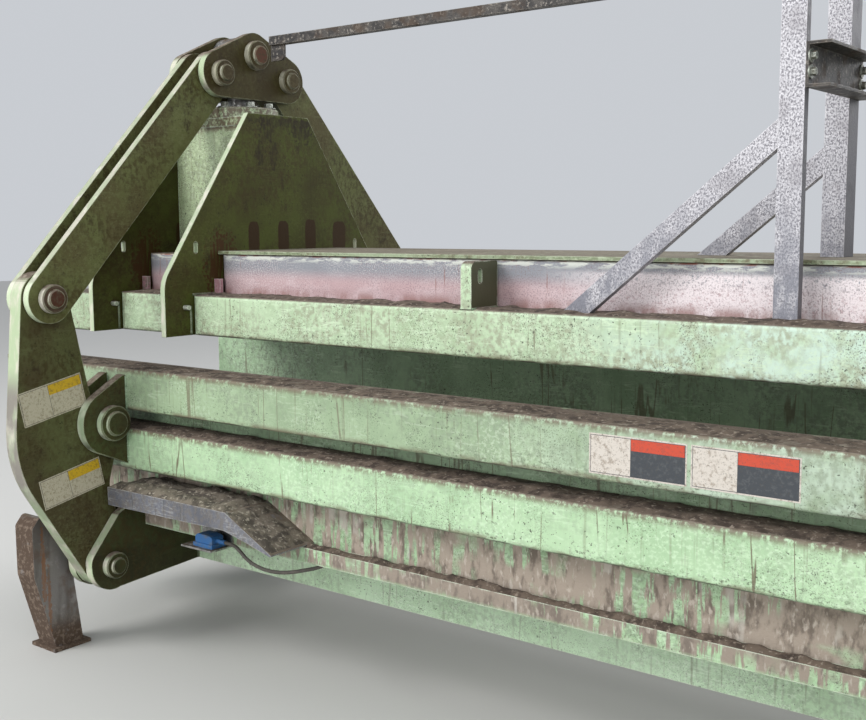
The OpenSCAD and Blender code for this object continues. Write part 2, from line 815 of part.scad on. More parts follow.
// Liner plate with the end plate and the hinge knuckle at the infeed end
module side_liner(side) placed() on_side(side) {
    bar([-disch_over, wall_end + end_plate_t], [side_in, side_beam_in], [side_z, side_top]);
    difference() {
        union() {
            bar([wall_end, wall_end + end_plate_t], [side_in, side_out], [side_z, side_top]);
            bar([wall_end + end_plate_t - cut, wall_reach], [side_hinge_y - 40, side_hinge_y + 40],
                [side_z, side_top]);
            rod_z(wall_reach, side_hinge_y, side_z, side_top, knuckle_r);
        }
        rod_z(wall_reach, side_hinge_y, side_z - cut, side_top + cut, hinge_r + run_gap);
    }
}

module side_liner_front() color("darkseagreen") side_liner(-1);
module side_liner_rear() color("darkseagreen") side_liner(1);

// Two plates on the wall's face, straight above and below the round of their eye
module side_ears(side) placed() on_side(side) {
    ear_r = 121;
    top = [side_out + 12, side_top - 24];
    foot = [side_out, side_z + 22];
    over = touch(lever_mid, ear_r, top, -1);
    under = touch(lever_mid, ear_r, foot, 1);
    difference() {
        both_ends() slab_x(ear_x, ear_t) intersection() {
            union() {
                translate(lever_mid) circle(ear_r);
                polygon([[side_out, top[1]], top, lever_mid + ear_r * [cos(over), sin(over)],
                    lever_mid, lever_mid + ear_r * [cos(under), sin(under)], foot]);
            }
            translate([side_out, side_z]) square([2 * (ear_r + mid_pin_out), side_top - side_z]);
        }
        rod_x(-ear_x - ear_t - cut, ear_x + ear_t + cut, lever_mid_y, lever_mid_z,
            mid_pin_r + ear_play);
    }
}

module side_ears_front() color("darkseagreen") side_ears(-1);
module side_ears_rear() color("darkseagreen") side_ears(1);

/* Levers and links */

lever_top = [lever_top_y, lever_top_z];
lever_base = [lever_base_y, lever_base_z];
cross_pin = [cross_pin_y, cross_pin_z];
lever_top_r = 94;
lever_mid_r = 65;
lever_base_r = 91;
shin_r = 80;
back_r = 40;
back_half = 46;

// Round end of a plate, as sharp points of an outline
function round_end(c, r, a0, a1) = [for (i = [0:end_steps])
    let (a = a0 + (a1 - a0) * i / end_steps) [c[0] + r * cos(a), c[1] + r * sin(a), 0]];

module lever_shape() {
    elbow = lever_mid + [elbow_out, -elbow_down];
    shin = lever_base + [-shin_in, shin_up];
    chest = lever_mid + [chest_out, chest_up];
    back = lever_mid[0] - lever_mid_r;
    polygon(outline([
        each round_end(lever_top, lever_top_r, touch(lever_top, lever_top_r, chest, -1) + 360,
            touch(lever_top, lever_top_r, elbow, 1)),
        [each elbow, elbow_r],
        each round_end(lever_base, lever_base_r, touch(lever_base, lever_base_r, elbow, -1),
            touch(lever_base, lever_base_r, shin, 1) - 360),
        [each shin, shin_r], [back, lever_mid[1] - back_half, back_r],
        [back, lever_mid[1] + back_half, back_r], [each chest, lever_inner_r]]));
}

module lever(side) placed() on_side(side) difference() {
    slab_x(-lever_half, lever_t) lever_shape();
    rod_x(-lever_half - cut, lever_half + cut, lever_top[0], lever_top[1], top_pin_r + run_gap);
    rod_x(-lever_half - cut, lever_half + cut, lever_mid[0], lever_mid[1], mid_pin_r + run_gap);
    rod_x(-lever_half - cut, lever_half + cut, lever_base[0], lever_base[1], base_pin_r + run_gap);
}

module lever_front() color("olivedrab") lever(-1);
module lever_rear() color("olivedrab") lever(1);

module lever_top_pin(side) placed() on_side(side)
    collared_pin(lever_top[0], lever_top[1], top_pin_r, 51, link_x + link_t + side_gap);
module lever_top_pin_front() color("sienna") lever_top_pin(-1);
module lever_top_pin_rear() color("sienna") lever_top_pin(1);

module lever_mid_pin(side) placed() on_side(side)
    collared_pin(lever_mid[0], lever_mid[1], mid_pin_r, mid_collar_r,
        ear_x + ear_t + side_gap, mid_end_r);
module lever_mid_pin_front() color("darkseagreen") lever_mid_pin(-1);
module lever_mid_pin_rear() color("darkseagreen") lever_mid_pin(1);

module link_plates(side) placed() on_side(side) both_ends() difference() {
    slab_x(link_x, link_t) belt_shape([cross_pin, lever_top], link_r);
    rod_x(link_x - cut, link_x + link_t + cut, cross_pin[0], cross_pin[1], cross_pin_r + run_gap);
    rod_x(link_x - cut, link_x + link_t + cut, lever_top[0], lever_top[1], top_pin_r + link_play);
}

module link_plates_front() color("olivedrab") link_plates(-1);
module link_plates_rear() color("olivedrab") link_plates(1);

/* Crosshead */

module crosshead_plates() color("olivedrab") placed() both_ends() difference() {
    slab_x(cross_x, cross_t) belt_shape([[-cross_pin_y, cross_pin_z], [cross_pin_y, cross_pin_z],
        [0, cross_top_z]], cross_r);
    for (s = [-1, 1]) rod_x(cross_x - cut, cross_x + cross_t + cut, s * cross_pin_y, cross_pin_z,
        cross_pin_r + run_gap);
    rod_x(cross_x - cut, cross_x + cross_t + cut, 0, cross_top_z, cross_top_r + run_gap);
}

module crosshead_pin(side) placed() on_side(side)
    collared_pin(cross_pin_y, cross_pin_z, cross_pin_r, 50, cross_x + cross_t);
module crosshead_pin_front() color("darkseagreen") crosshead_pin(-1);
module crosshead_pin_rear() color("darkseagreen") crosshead_pin(1);
module crosshead_top_pin() color("sienna") placed()
    collared_pin(0, cross_top_z, cross_top_r, 58, cross_x + cross_t);

// Cylinder rod with the eye that hangs on the crosshead's top pin
module tension_rod() color("silver") placed() {
    eye_r = 80;
    eye_half = cross_x - side_gap;
    piston_rise = 240;
    rod_end = flange_z - tension_l + piston_rise;
    difference() {
        union() {
            rod_x(-eye_half, eye_half, 0, cross_top_z, eye_r);
            rod_z(0, 0, rod_end, cross_top_z - 20, rod_r);
            rod_z(0, 0, rod_end, rod_end + 60, tension_r - 15 - run_gap);
        }
        rod_x(-eye_half - cut, eye_half + cut, 0, cross_top_z, cross_top_r + run_gap);
    }
}

/* Top wall */

module platen() color("darkseagreen") placed() {
    difference() {
        union() {
            bar([-top_over, wall_end], [-edge_in, edge_in], [platen_z, platen_z + platen_t]);
            bar([wall_end, wall_end + end_plate_t], [-edge_half, edge_half], [platen_z, deck_z]);
            bar([wall_end + end_plate_t - cut, wall_reach], [-140, 140],
                [top_hinge_z - 35, top_hinge_z + 35]);
            rod_y(wall_reach, -140, 140, top_hinge_z, knuckle_r);
        }
        rod_y(wall_reach, -150, 150, top_hinge_z, hinge_r + run_gap);
    }
}

module lug() {
    difference() {
        slab_x(lug_x, lug_t) polygon(outline([[edge_in + deck_lip + 2, shelf_z, 0],
            [edge_half, shelf_z, 0], [edge_half, deck_z - 4, 26], [edge_in + deck_lip + 2, deck_z - 4, 8]]));
        slab_x(lug_x - cut, lug_t + 2 * cut) translate([edge_half - 47, shelf_z + 100]) slot_shape();
    }
}

module edge_beams(side) placed() on_side(side) {
    z = [platen_z, shelf_z];
    formed_beam([-top_over, -gusset_out], [edge_in, edge_half + 110], z, [beam_end_r, 0]);
    formed_beam([-gusset_gap, gusset_gap], [edge_in, edge_half], z, [beam_end_r, beam_end_r]);
    formed_beam([gusset_out, wall_end], [edge_in, edge_half], z, [beam_end_r, 0]);
    lug();
}

module edge_beams_front() color("darkseagreen") edge_beams(-1);
module edge_beams_rear() color("darkseagreen") edge_beams(1);

module deck_beams() color("rosybrown") placed() both_sides() {
    z = [platen_z + platen_t, deck_z];
    formed_beam([-top_over, -gusset_out], [deck_in, edge_in], z, [beam_end_r, 0]);
    formed_beam([-gusset_gap, gusset_gap], [deck_in, edge_in], z, [beam_end_r, beam_end_r]);
    formed_beam([gusset_out, wall_end], [deck_in, edge_in], z, [beam_end_r, 0]);
}

module deck_plate() color("darkseagreen") placed()
    for (x = [[-top_over, -gusset_out], [gusset_out, wall_end]])
        bar(x, [-edge_in - deck_lip, edge_in + deck_lip], [deck_z, deck_z + deck_t]);

module gusset_shape() {
    difference() {
        polygon(outline([[-gusset_half, gusset_foot_z, 0], [-gusset_half, gusset_knee_z, gusset_knee_r],
            [-gusset_top_half, gusset_top_z, 0], [gusset_top_half, gusset_top_z, 0],
            [gusset_half, gusset_knee_z, gusset_knee_r], [gusset_half, gusset_foot_z, 0]]));
        for (s = [-1, 1]) translate([s * slot_y, slot_z]) slot_shape();
        translate([-edge_in, gusset_foot_z - cut])
            square([2 * edge_in, platen_z + platen_t - gusset_foot_z + cut]);
    }
}

module gusset_discharge() color("olivedrab") placed()
    slab_x(-gusset_out, gusset_t) gusset_shape();
module gusset_infeed() color("olivedrab") placed()
    slab_x(gusset_gap, gusset_t) gusset_shape();

// Box between the gussets, open below, with a bored head plate for the cylinder and a
// three-cornered opening in its front for the hoses
module cylinder_housing() color("darkseagreen") placed() {
    t = housing_t;
    top = flange_z;
    seam = top - head_plate_t;
    foot = platen_z + platen_t;
    lip = housing_half + head_plate_lip;
    difference() {
        union() {
            bar([-gusset_gap, gusset_gap], [-housing_half, housing_half], [foot, top]);
            bar([-gusset_gap, gusset_gap], [-lip, lip], [seam, top]);
        }
        bar([-gusset_gap + t, gusset_gap - t], [-housing_half + t, housing_half - t],
            [foot - cut, seam]);
        rod_z(0, 0, seam - cut, top + cut, tension_r + run_gap);
        slab_y(-housing_half - cut, t + 2 * cut) translate([0, foot + port_low])
            polygon([[-gusset_gap + t, 0], [gusset_gap - t, 0], [gusset_gap - t, port_h]]);
    }
}

module tension_barrel() color("darkseagreen") placed()
    rotate_extrude() {
        low = flange_z - tension_l;
        bore = tension_r - 15;
        polygon([[0, low], [tension_r, low], [tension_r, flange_z], [flange_r, flange_z],
            [flange_r, flange_top - 5], [flange_r - 5, flange_top], [rod_r + run_gap, flange_top],
            [rod_r + run_gap, flange_z - 60], [bore, flange_z - 60], [bore, low + 30],
            [0, low + 30]]);
    }

/* Supports and rail */

guard_y = -deck_post_d / 2;
brace_y = guard_y - post_d / 2;

module post_tube(y, z0) {
    t = 4;
    difference() {
        bar([post_x, post_x + post_w], y, [z0, post_top_z]);
        bar([post_x + t, post_x + post_w - t], [y[0] + t, y[1] - t], [z0 - cut, post_top_z - t]);
    }
}

module support_posts() color("silver") placed() {
    post_tube([-post_half, -post_half + post_d], shelf_z);
    post_tube([-deck_post_d, 0], deck_z + deck_t);
}

// Sloping tube from the level z0 up to a post, cut flat on both
module brace(run, y, z0) {
    c = cos(brace_slope);
    s = sin(brace_slope);
    x0 = post_x - run;
    module side_view(inset) {
        a = x0 + inset / s;
        b = x0 + (brace_w - inset) / s;
        polygon([[a, z0], [b, z0], [post_x, z0 + (post_x - b) * s / c],
            [post_x, z0 + (post_x - a) * s / c]]);
    }
    difference() {
        slab_y(y, post_d) side_view(0);
        slab_y(y + 4, post_d - 8) side_view(4);
    }
}

module support_braces() color("silver") placed() {
    brace(brace_run, -post_half, shelf_z);
    brace(deck_brace_run, brace_y, deck_z + deck_t);
}

// Channel that ties the two posts, its web against their far faces
module cross_bars() color("dimgray") placed() difference() {
    x = post_x + post_w;
    t = 8;
    bar([x, x + channel_d], [-post_half, 0], [channel_z, channel_z + channel_h]);
    bar([x + t, x + channel_d + cut], [-post_half - cut, cut],
        [channel_z + t, channel_z + channel_h - t]);
}

// Square rail on the deck post, with a tab under its free end
module guard_rail() color("gray") placed() {
    end = guard_x + tab_l;
    low = guard_z - tab_h;
    hollow_bar([guard_x, post_x], [guard_y - guard_s / 2, guard_y + guard_s / 2],
        [guard_z, guard_z + guard_s], 4);
    slab_y(guard_y - tab_t / 2, tab_t) polygon(outline([[guard_x, guard_z, 0], [guard_x, low, 0],
        [end, low, tab_h / 3], [end, guard_z, 0]]));
}

base_rails();
chamber_floor();
lower_side_front();
lower_side_rear();
lower_bracket_front();
lower_bracket_rear();
base_pin_front();
base_pin_rear();
outrigger_leg_front();
outrigger_leg_rear();
ring_frame();
side_hinge_pin_front();
side_hinge_pin_rear();
top_hinge_pin();
press_side_front();
press_side_rear();
feed_throat();
rear_crosshead();
main_barrel();
sensor_hood();
sensor_bracket();
sensor();
sensor_cable();
cable_grommet();
upper_beam_front();
upper_beam_rear();
lower_beam_front();
lower_beam_rear();
side_liner_front();
side_liner_rear();
side_ears_front();
side_ears_rear();
lever_front();
lever_rear();
lever_top_pin_front();
lever_top_pin_rear();
lever_mid_pin_front();
lever_mid_pin_rear();
link_plates_front();
link_plates_rear();
crosshead_plates();
crosshead_pin_front();
crosshead_pin_rear();
crosshead_top_pin();
tension_rod();
platen();
edge_beams_front();
edge_beams_rear();
deck_beams();
deck_plate();
gusset_discharge();
gusset_infeed();
cylinder_housing();
tension_barrel();
support_posts();
support_braces();
cross_bars();
guard_rail();
ram_head();
ram_rod();
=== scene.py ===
import math
import random

import bpy
from mathutils import Matrix, Vector, noise


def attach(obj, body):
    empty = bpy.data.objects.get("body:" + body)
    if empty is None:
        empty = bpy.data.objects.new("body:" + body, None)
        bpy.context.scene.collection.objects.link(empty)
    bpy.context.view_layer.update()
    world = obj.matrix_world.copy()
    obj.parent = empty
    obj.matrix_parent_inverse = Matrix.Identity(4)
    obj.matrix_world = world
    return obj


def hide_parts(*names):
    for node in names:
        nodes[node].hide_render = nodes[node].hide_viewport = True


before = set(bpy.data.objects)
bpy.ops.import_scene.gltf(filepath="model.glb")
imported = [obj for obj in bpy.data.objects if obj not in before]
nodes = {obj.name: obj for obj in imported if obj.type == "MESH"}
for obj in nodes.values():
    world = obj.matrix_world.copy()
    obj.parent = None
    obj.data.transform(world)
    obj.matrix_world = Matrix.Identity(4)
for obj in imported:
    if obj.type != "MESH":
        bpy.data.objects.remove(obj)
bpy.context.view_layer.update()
mm = 0.001
tensX = -2.9  # the tensioner's middle plane along the machine, in metres
sides = {"front": -1, "rear": 1}


def addObject(name, data):
    thing = bpy.data.objects.new(name, data)
    bpy.context.scene.collection.objects.link(thing)
    return thing


print("camera and light")

# the photograph's camera: metres, degrees, and millimetres for lens and sensor
view = {"place": (0.683, -3.3085, 1.60), "turn": 37.9, "dip": 6.77, "roll": -0.3,
        "lens": 47.6, "sensor": 36, "clip": (0.05, 200)}


def makeCamera():
    turn, dip, roll = (math.radians(view[k]) for k in ("turn", "dip", "roll"))
    ahead = Vector((-math.sin(turn) * math.cos(dip), math.cos(turn) * math.cos(dip), -math.sin(dip)))
    right = Vector((math.cos(turn), math.sin(turn), 0))
    up = right.cross(ahead)
    right, up = (right * math.cos(roll) + up * math.sin(roll),
                 up * math.cos(roll) - right * math.sin(roll))
    data = bpy.data.cameras.new("photoCamera")
    data.lens, data.sensor_width = view["lens"], view["sensor"]
    data.clip_start, data.clip_end = view["clip"]
    cam = addObject("photoCamera", data)
    axes = Matrix((right, up, -ahead)).transposed().to_4x4()
    cam.matrix_world = Matrix.Translation(view["place"]) @ axes
    bpy.context.scene.camera = cam


# soft square lamps: metres and watts
lamps = {
    "keyLamp": {"place": (-6.5, -8.5, 7.5), "target": (-2.0, 0, 1.1), "size": 5.0, "power": 830},
    "lowLamp": {"place": (-1.5, -8.5, 2.4), "target": (-1.5, 0, 0.6), "size": 3.0, "power": 115},
    "fillLamp": {"place": (6.0, -6.0, 5.0), "target": (-1.0, 0, 1.0), "size": 6.0, "power": 190},
    "backLamp": {"place": (0.0, 9.0, 6.0), "target": (-1.0, 0, 1.2), "size": 6.0, "power": 500},
}


def areaLamp(name, settings):
    data = bpy.data.lights.new(name, "AREA")
    data.shape = "SQUARE"
    data.size = settings["size"]
    data.energy = settings["power"]
    lamp = addObject(name, data)
    lamp.location = settings["place"]
    sight = Vector(settings["target"]) - Vector(settings["place"])
    lamp.rotation_euler = sight.to_track_quat("-Z", "Y").to_euler()


makeCamera()
for name, settings in lamps.items():
    areaLamp(name, settings)

print("materials")


def hexColour(text):
    parts = [int(text[i:i + 2], 16) / 255 for i in (0, 2, 4)]
    return [c / 12.92 if c <= 0.04045 else ((c + 0.055) / 1.055) ** 2.4 for c in parts] + [1]


def addNode(tree, kind, settings=None, links=None):
    node = tree.nodes.new("ShaderNode" + kind)
    for key, value in (settings or {}).items():
        if isinstance(key, int) or key in node.inputs:
            node.inputs[key].default_value = value
        else:
            setattr(node, key, value)
    for key, source in (links or {}).items():
        tree.links.new(source, node.inputs[key])
    return node


def band(tree, value, low, high, top=1.0):
    # smooth step of a value from 0 at low to top at high
    return addNode(tree, "MapRange", {"interpolation_type": "SMOOTHSTEP", "From Min": low,
                                      "From Max": high, "To Max": top}, {"Value": value}).outputs[0]


def both(tree, a, b):
    return addNode(tree, "Math", {"operation": "MULTIPLY"}, {0: a, 1: b}).outputs[0]


def either(tree, a, b):
    return addNode(tree, "Math", {"operation": "MAXIMUM"}, {0: a, 1: b}).outputs[0]


def noiseField(tree, scale, stretch, turn, shift, detail, coarse):
    # noise in the piece's own coordinates, one unit of it to scale millimetres
    coords = addNode(tree, "TexCoord").outputs["Object"]
    spot = addNode(tree, "Mapping", {"Scale": [s / (scale * mm) for s in stretch], "Rotation": turn,
                                     "Location": (shift, shift * 0.7, shift * 1.3)},
                   {"Vector": coords}).outputs[0]
    return addNode(tree, "TexNoise", {"Scale": 1.0, "Detail": detail, "Roughness": coarse},
                   {"Vector": spot}).outputs[0]


def grain(tree, scale, low, high, stretch=(1, 1, 1), shift=0.0, detail=3.0, top=1.0):
    # mask of spots about scale millimetres across
    return band(tree, noiseField(tree, scale, stretch, (0, 0, 0), shift, detail, 0.6), low, high, top)


def lines(tree, spacing, width, stretch, shift, turn=(0, 0, 0), detail=3.0):
    # mask of thin wandering lines, spacing millimetres apart and width across
    level = noiseField(tree, spacing, stretch, turn, shift, detail, 0.4)
    gap = addNode(tree, "Math", {"operation": "SUBTRACT", 1: 0.5}, {0: level}).outputs[0]
    off = addNode(tree, "Math", {"operation": "ABSOLUTE"}, {0: gap}).outputs[0]
    return band(tree, off, 0.8 * width / spacing, 0.25 * width / spacing)


def over(tree, under, top, mask):
    # colour top laid over colour under where mask is 1
    node = addNode(tree, "Mix", {"data_type": "RGBA"})
    for socket, colour in ((6, under), (7, top)):
        if isinstance(colour, str):
            node.inputs[socket].default_value = hexColour(colour)
        else:
            tree.links.new(colour, node.inputs[socket])
    tree.links.new(mask, node.inputs[0])
    return node.outputs[2]


def facing(tree, axis, low, high):
    # 1 where the surface's normal along an axis passes from low to high
    normal = addNode(tree, "NewGeometry").outputs["Normal"]
    part = addNode(tree, "SeparateXYZ", {}, {0: normal}).outputs[axis]
    return band(tree, part, low, high)


def rims(tree):
    # 1 on the cut rims of plates that stand across the machine
    normal = addNode(tree, "NewGeometry").outputs["Normal"]
    part = addNode(tree, "SeparateXYZ", {}, {0: normal}).outputs[0]
    flat = addNode(tree, "Math", {"operation": "ABSOLUTE"}, {0: part}).outputs[0]
    return band(tree, flat, 0.8, 0.5)


def height(tree, low, high, axis=2):
    # 0 at the height low and 1 at high, in metres, or along another axis
    coords = addNode(tree, "TexCoord").outputs["Object"]
    part = addNode(tree, "SeparateXYZ", {}, {0: coords}).outputs[axis]
    return band(tree, part, low, high)


def oval(tree, place, half, ragged, square=False):
    # oval mark on a plate across the machine, its middle and half sizes (y, z) in millimetres;
    # squaring its coordinates makes it an upright slot with rounded corners
    coords = addNode(tree, "TexCoord").outputs["Object"]
    local = addNode(tree, "Mapping", {"Scale": (0, 1 / (half[0] * mm), 1 / (half[1] * mm)),
                                      "Location": (0, -place[0] / half[0], -place[1] / half[1])},
                    {"Vector": coords}).outputs[0]
    if square:
        local = addNode(tree, "VectorMath", {"operation": "MULTIPLY"}, {0: local, 1: local}).outputs[0]
    away = addNode(tree, "VectorMath", {"operation": "LENGTH"}, {0: local}).outputs["Value"]
    rough = grain(tree, 14, 0.3, 0.7, shift=2.0, detail=5.0, top=ragged)
    total = addNode(tree, "Math", {"operation": "ADD"}, {0: away, 1: rough}).outputs[0]
    return band(tree, total, 1.1 + ragged / 2, 0.96 + ragged / 2)


def edges(tree, radius):
    # 1 along sharp edges, where paint rubs off
    soft = addNode(tree, "Bevel", {"samples": 6, "Radius": radius * mm}).outputs[0]
    hard = addNode(tree, "NewGeometry").outputs["Normal"]
    dot = addNode(tree, "VectorMath", {"operation": "DOT_PRODUCT"}, {0: soft, 1: hard}).outputs["Value"]
    return band(tree, dot, 0.995, 0.93)


def startMaterial(name, settings):
    mat = bpy.data.materials.new(name)
    mat.use_nodes = True
    tree = mat.node_tree
    tree.nodes.clear()
    shader = addNode(tree, "BsdfPrincipled", settings)
    addNode(tree, "OutputMaterial", {}, {"Surface": shader.outputs[0]})
    return mat, tree, shader


def closeMaterial(tree, shader, colour, relief, depth, softEdge=2.5, rough=None):
    # colour, roughness where it varies, and a bump depth millimetres deep over softened edges
    tree.links.new(colour, shader.inputs["Base Color"])
    if rough is not None:
        tree.links.new(rough, shader.inputs["Roughness"])
    soft = addNode(tree, "Bevel", {"samples": 4, "Radius": softEdge * mm}).outputs[0]
    bump = addNode(tree, "Bump", {"Strength": 0.6, "Distance": depth * mm},
                   {"Height": relief, "Normal": soft})
    tree.links.new(bump.outputs[0], shader.inputs["Normal"])


# how strongly each layer of the enamel shows, and how far its specks spread, unless a paint says otherwise
enamelLayers = {"gloss": 0.5, "film": 0.7, "fade": 0.6, "scratch": 0.6, "speck": 0.55,
                "speckled": (0.44, 0.62), "drip": 0.45, "run": 0.7, "chip": 0.85}
# each set of scratches: its lean in radians and the shift of its noise
scratchSets = ((0.4, 7.0), (-0.75, 17.0), (0.1, 27.0))


# Machine enamel, brushed on thick: a chalky green under a film of dirt, with scratches, specks,
# runs of grime from the top edges, small chips to dark primer and bright rubbed edges.
# Heights and spans in a paint are in metres, marks on plates in millimetres.
def enamel(name, paint):
    look = {**enamelLayers, **paint}
    mat, tree, shader = startMaterial(name, {"IOR": 1.5, "Specular IOR Level": look["gloss"]})
    colour = over(tree, look["base"], look["deep"], grain(tree, 240, 0.40, 0.62, detail=6.0))
    if "pale" in look:
        # bleached in patches toward the infeed
        pale = both(tree, height(tree, *look["paleSpan"], 0),
                    grain(tree, 90, 0.30, 0.60, shift=28.0, detail=7.0, top=0.8))
        colour = over(tree, colour, look["pale"], pale)
    film = both(tree, grain(tree, 19, 0.42, 0.60, (1, 1, 0.8), shift=3.0, detail=8.0),
                grain(tree, 360, 0.36, 0.58, (1, 1, 1.4), shift=12.0, top=look["film"]))
    colour = over(tree, colour, look["filmed"], film)
    bloom = both(tree, grain(tree, 13, 0.48, 0.62, (1, 1, 1.2), shift=3.5, detail=8.0),
                 grain(tree, 300, 0.38, 0.60, shift=14.0, top=look["fade"]))
    colour = over(tree, colour, look["faded"], bloom)
    for lean, shift in scratchSets:
        marks = both(tree, lines(tree, 42, 1.0, (0.10, 0.10, 1.7), shift, (0, lean, 0), 2.0),
                     grain(tree, 100, 0.55, 0.60, shift=shift, top=look["scratch"]))
        colour = over(tree, colour, look["faded"], marks)
    # real specks are a millimetre or two across; these are coarser so that they show
    specks = both(tree, grain(tree, 4.5, 0.56, 0.60, detail=5.0, shift=21.0),
                  grain(tree, 150, *look["speckled"], shift=22.0, top=look["speck"]))
    colour = over(tree, colour, look["chipped"], specks)
    drips = both(tree, grain(tree, 13, 0.58, 0.70, (1, 1, 0.035), shift=1.0),
                 grain(tree, 420, 0.40, 0.60, (1, 1, 0.7), shift=5.0, top=look["drip"]))
    colour = over(tree, colour, look["streak"], drips)
    runs = both(tree, lines(tree, 90, 1.5, (1, 1, 0.07), 8.0, detail=6.0),
                grain(tree, 200, 0.50, 0.58, (1, 1, 0.7), shift=15.0, top=look["run"]))
    colour = over(tree, colour, look["streak"], runs)
    chips = both(tree, grain(tree, 9, 0.62, 0.66, detail=5.0),
                 grain(tree, 220, 0.38, 0.58, shift=9.0, top=look["chip"]))
    colour = over(tree, colour, look["chipped"], chips)
    if "blot" in look:
        # oil soaked into the dirt
        blots = both(tree, grain(tree, 70, 0.55, 0.70, shift=23.0, detail=7.0),
                     grain(tree, 8, 0.30, 0.60, shift=24.0, top=0.8))
        colour = over(tree, colour, look["blot"], blots)
    if "topEdge" in look:
        # grime spilling over the top edge
        spill = both(tree, height(tree, look["topEdge"] - 0.030, look["topEdge"] - 0.004),
                     grain(tree, 15, 0.36, 0.54, (1, 1, 0.7), shift=16.0, detail=7.0))
        colour = over(tree, colour, look["streak"], spill)
    if "footEdge" in look:
        # spatter and creeping dirt along the bottom edge
        spatter = both(tree, grain(tree, 7, 0.54, 0.62, (0.7, 0.7, 1), shift=18.0, detail=7.0),
                       grain(tree, 240, 0.40, 0.60, shift=25.0, top=0.8))
        foot = both(tree, height(tree, look["footEdge"] + 0.050, look["footEdge"] + 0.004), spatter)
        colour = over(tree, colour, look["chipped"], foot)
        creep = both(tree, height(tree, look["footEdge"] + 0.024, look["footEdge"] + 0.006),
                     grain(tree, 34, 0.44, 0.60, (0.3, 0.3, 1), shift=26.0, detail=7.0, top=0.75))
        colour = over(tree, colour, look["streak"], creep)
    for place, half in look.get("ovals", []):
        colour = over(tree, colour, look["burnt"], oval(tree, place, half, 0.12, True))
    for place, radius in look.get("discs", []):
        spot = both(tree, oval(tree, place, (radius, radius), 0.1),
                    grain(tree, 11, 0.28, 0.56, detail=6.0))
        colour = over(tree, colour, look["burnt"], spot)
    for place, half in look.get("stains", []):
        mark = both(tree, oval(tree, place, half, 0.9),
                    grain(tree, 12, 0.30, 0.62, (1, 1, 0.4), detail=6.0, top=0.85))
        colour = over(tree, colour, look["streak"], mark)
    if "brushed" in look:
        # a patch of rusty scrapes
        strokes = both(tree, oval(tree, *look["brushed"], 0.9),
                       lines(tree, 16, 3.2, (1, 1, 0.09), 4.0, (0.25, 0, 0)))
        colour = over(tree, colour, look["brushMark"], strokes)
    if "lugShade" in look:
        # painted shade on the infeed side of the lifting lugs
        start, stop = look["lugShadeSpan"]
        inside = both(tree, height(tree, start - 0.01, start, 0), height(tree, stop + 0.01, stop, 0))
        colour = over(tree, colour, look["lugShade"], both(tree, facing(tree, 0, 0.6, 0.9), inside))
    if "rim" in look:
        # cut rims of the plates painted pale: a painted highlight for the light they catch, with patches of
        # real wear
        worn = over(tree, look["rim"], look["rimLitWorn"],
                    grain(tree, 45, 0.42, 0.66, (1, 1, 0.4), shift=4.0))
        if "rimDull" in look:
            low, high = look["dullBand"]
            dull = both(tree, both(tree, height(tree, low, low + 0.12), height(tree, high, high - 0.12)),
                        grain(tree, 60, 0.20, 0.55, (1, 1, 0.5), detail=5.0))
            worn = over(tree, worn, look["rimDull"], dull)
        colour = over(tree, colour, worn, rims(tree))
    if "smear" in look:
        # mud smeared along the wall, with bare strips and runs of chalk
        mud = over(tree, look["smear"], look["smearDark"],
                   grain(tree, 34, 0.46, 0.64, (1, 1, 0.45), detail=7.0))
        mud = over(tree, mud, look["smearDry"],
                   grain(tree, 14, 0.54, 0.66, (1, 1, 0.4), shift=5.0, detail=6.0))
        bare = both(tree, grain(tree, 30, 0.50, 0.55, (1, 1, 0.13), shift=6.0, detail=6.0),
                    grain(tree, 420, 0.42, 0.54, (1, 1, 2), shift=19.0))
        cover = addNode(tree, "Math", {"operation": "SUBTRACT", 0: 1.0}, {1: bare}).outputs[0]
        smear = both(tree, height(tree, *look["smearBand"]), cover)
        colour = over(tree, colour, mud, smear)
        chalk = both(tree, lines(tree, 170, 5.0, (1, 1, 0.05), 29.0),
                     grain(tree, 190, 0.52, 0.60, shift=30.0, top=0.5))
        colour = over(tree, colour, look["smearChalk"], chalk)
    rub = both(tree, edges(tree, 5.0), grain(tree, 40, 0.36, 0.58, shift=8.0))
    colour = over(tree, colour, look["rub"], rub)
    # faces that look down are darkened in patches
    under = both(tree, facing(tree, 2, -0.3, -0.8), grain(tree, 90, 0.3, 0.6))
    colour = over(tree, colour, look["grime"], under)
    # dirt lies on the faces that look up, paler where it has dried
    dirt = both(tree, facing(tree, 2, 0.55, 0.85), grain(tree, 50, 0.20, 0.44, shift=11.0))
    dry = both(tree, grain(tree, 22, 0.38, 0.66, shift=35.0, detail=7.0),
               grain(tree, 330, 0.34, 0.64, shift=36.0, detail=5.0))
    colour = over(tree, colour, over(tree, look["dirt"], look["dirtDry"], dry), dirt)
    if "smear" in look:
        dirt = either(tree, dirt, smear)
    rough = addNode(tree, "Mix", {2: 0.46, 3: 0.93}, {0: either(tree, dirt, drips)}).outputs[0]
    # brush marks are about a millimetre wide; the relief is coarser so that it shows
    relief = addNode(tree, "Mix", {}, {0: dirt, 2: grain(tree, 12, 0.2, 0.8, top=0.25),
                                       3: grain(tree, 8, 0.2, 0.8, detail=6.0)}).outputs[0]
    closeMaterial(tree, shader, colour, relief, 1.4, rough=rough)
    return mat


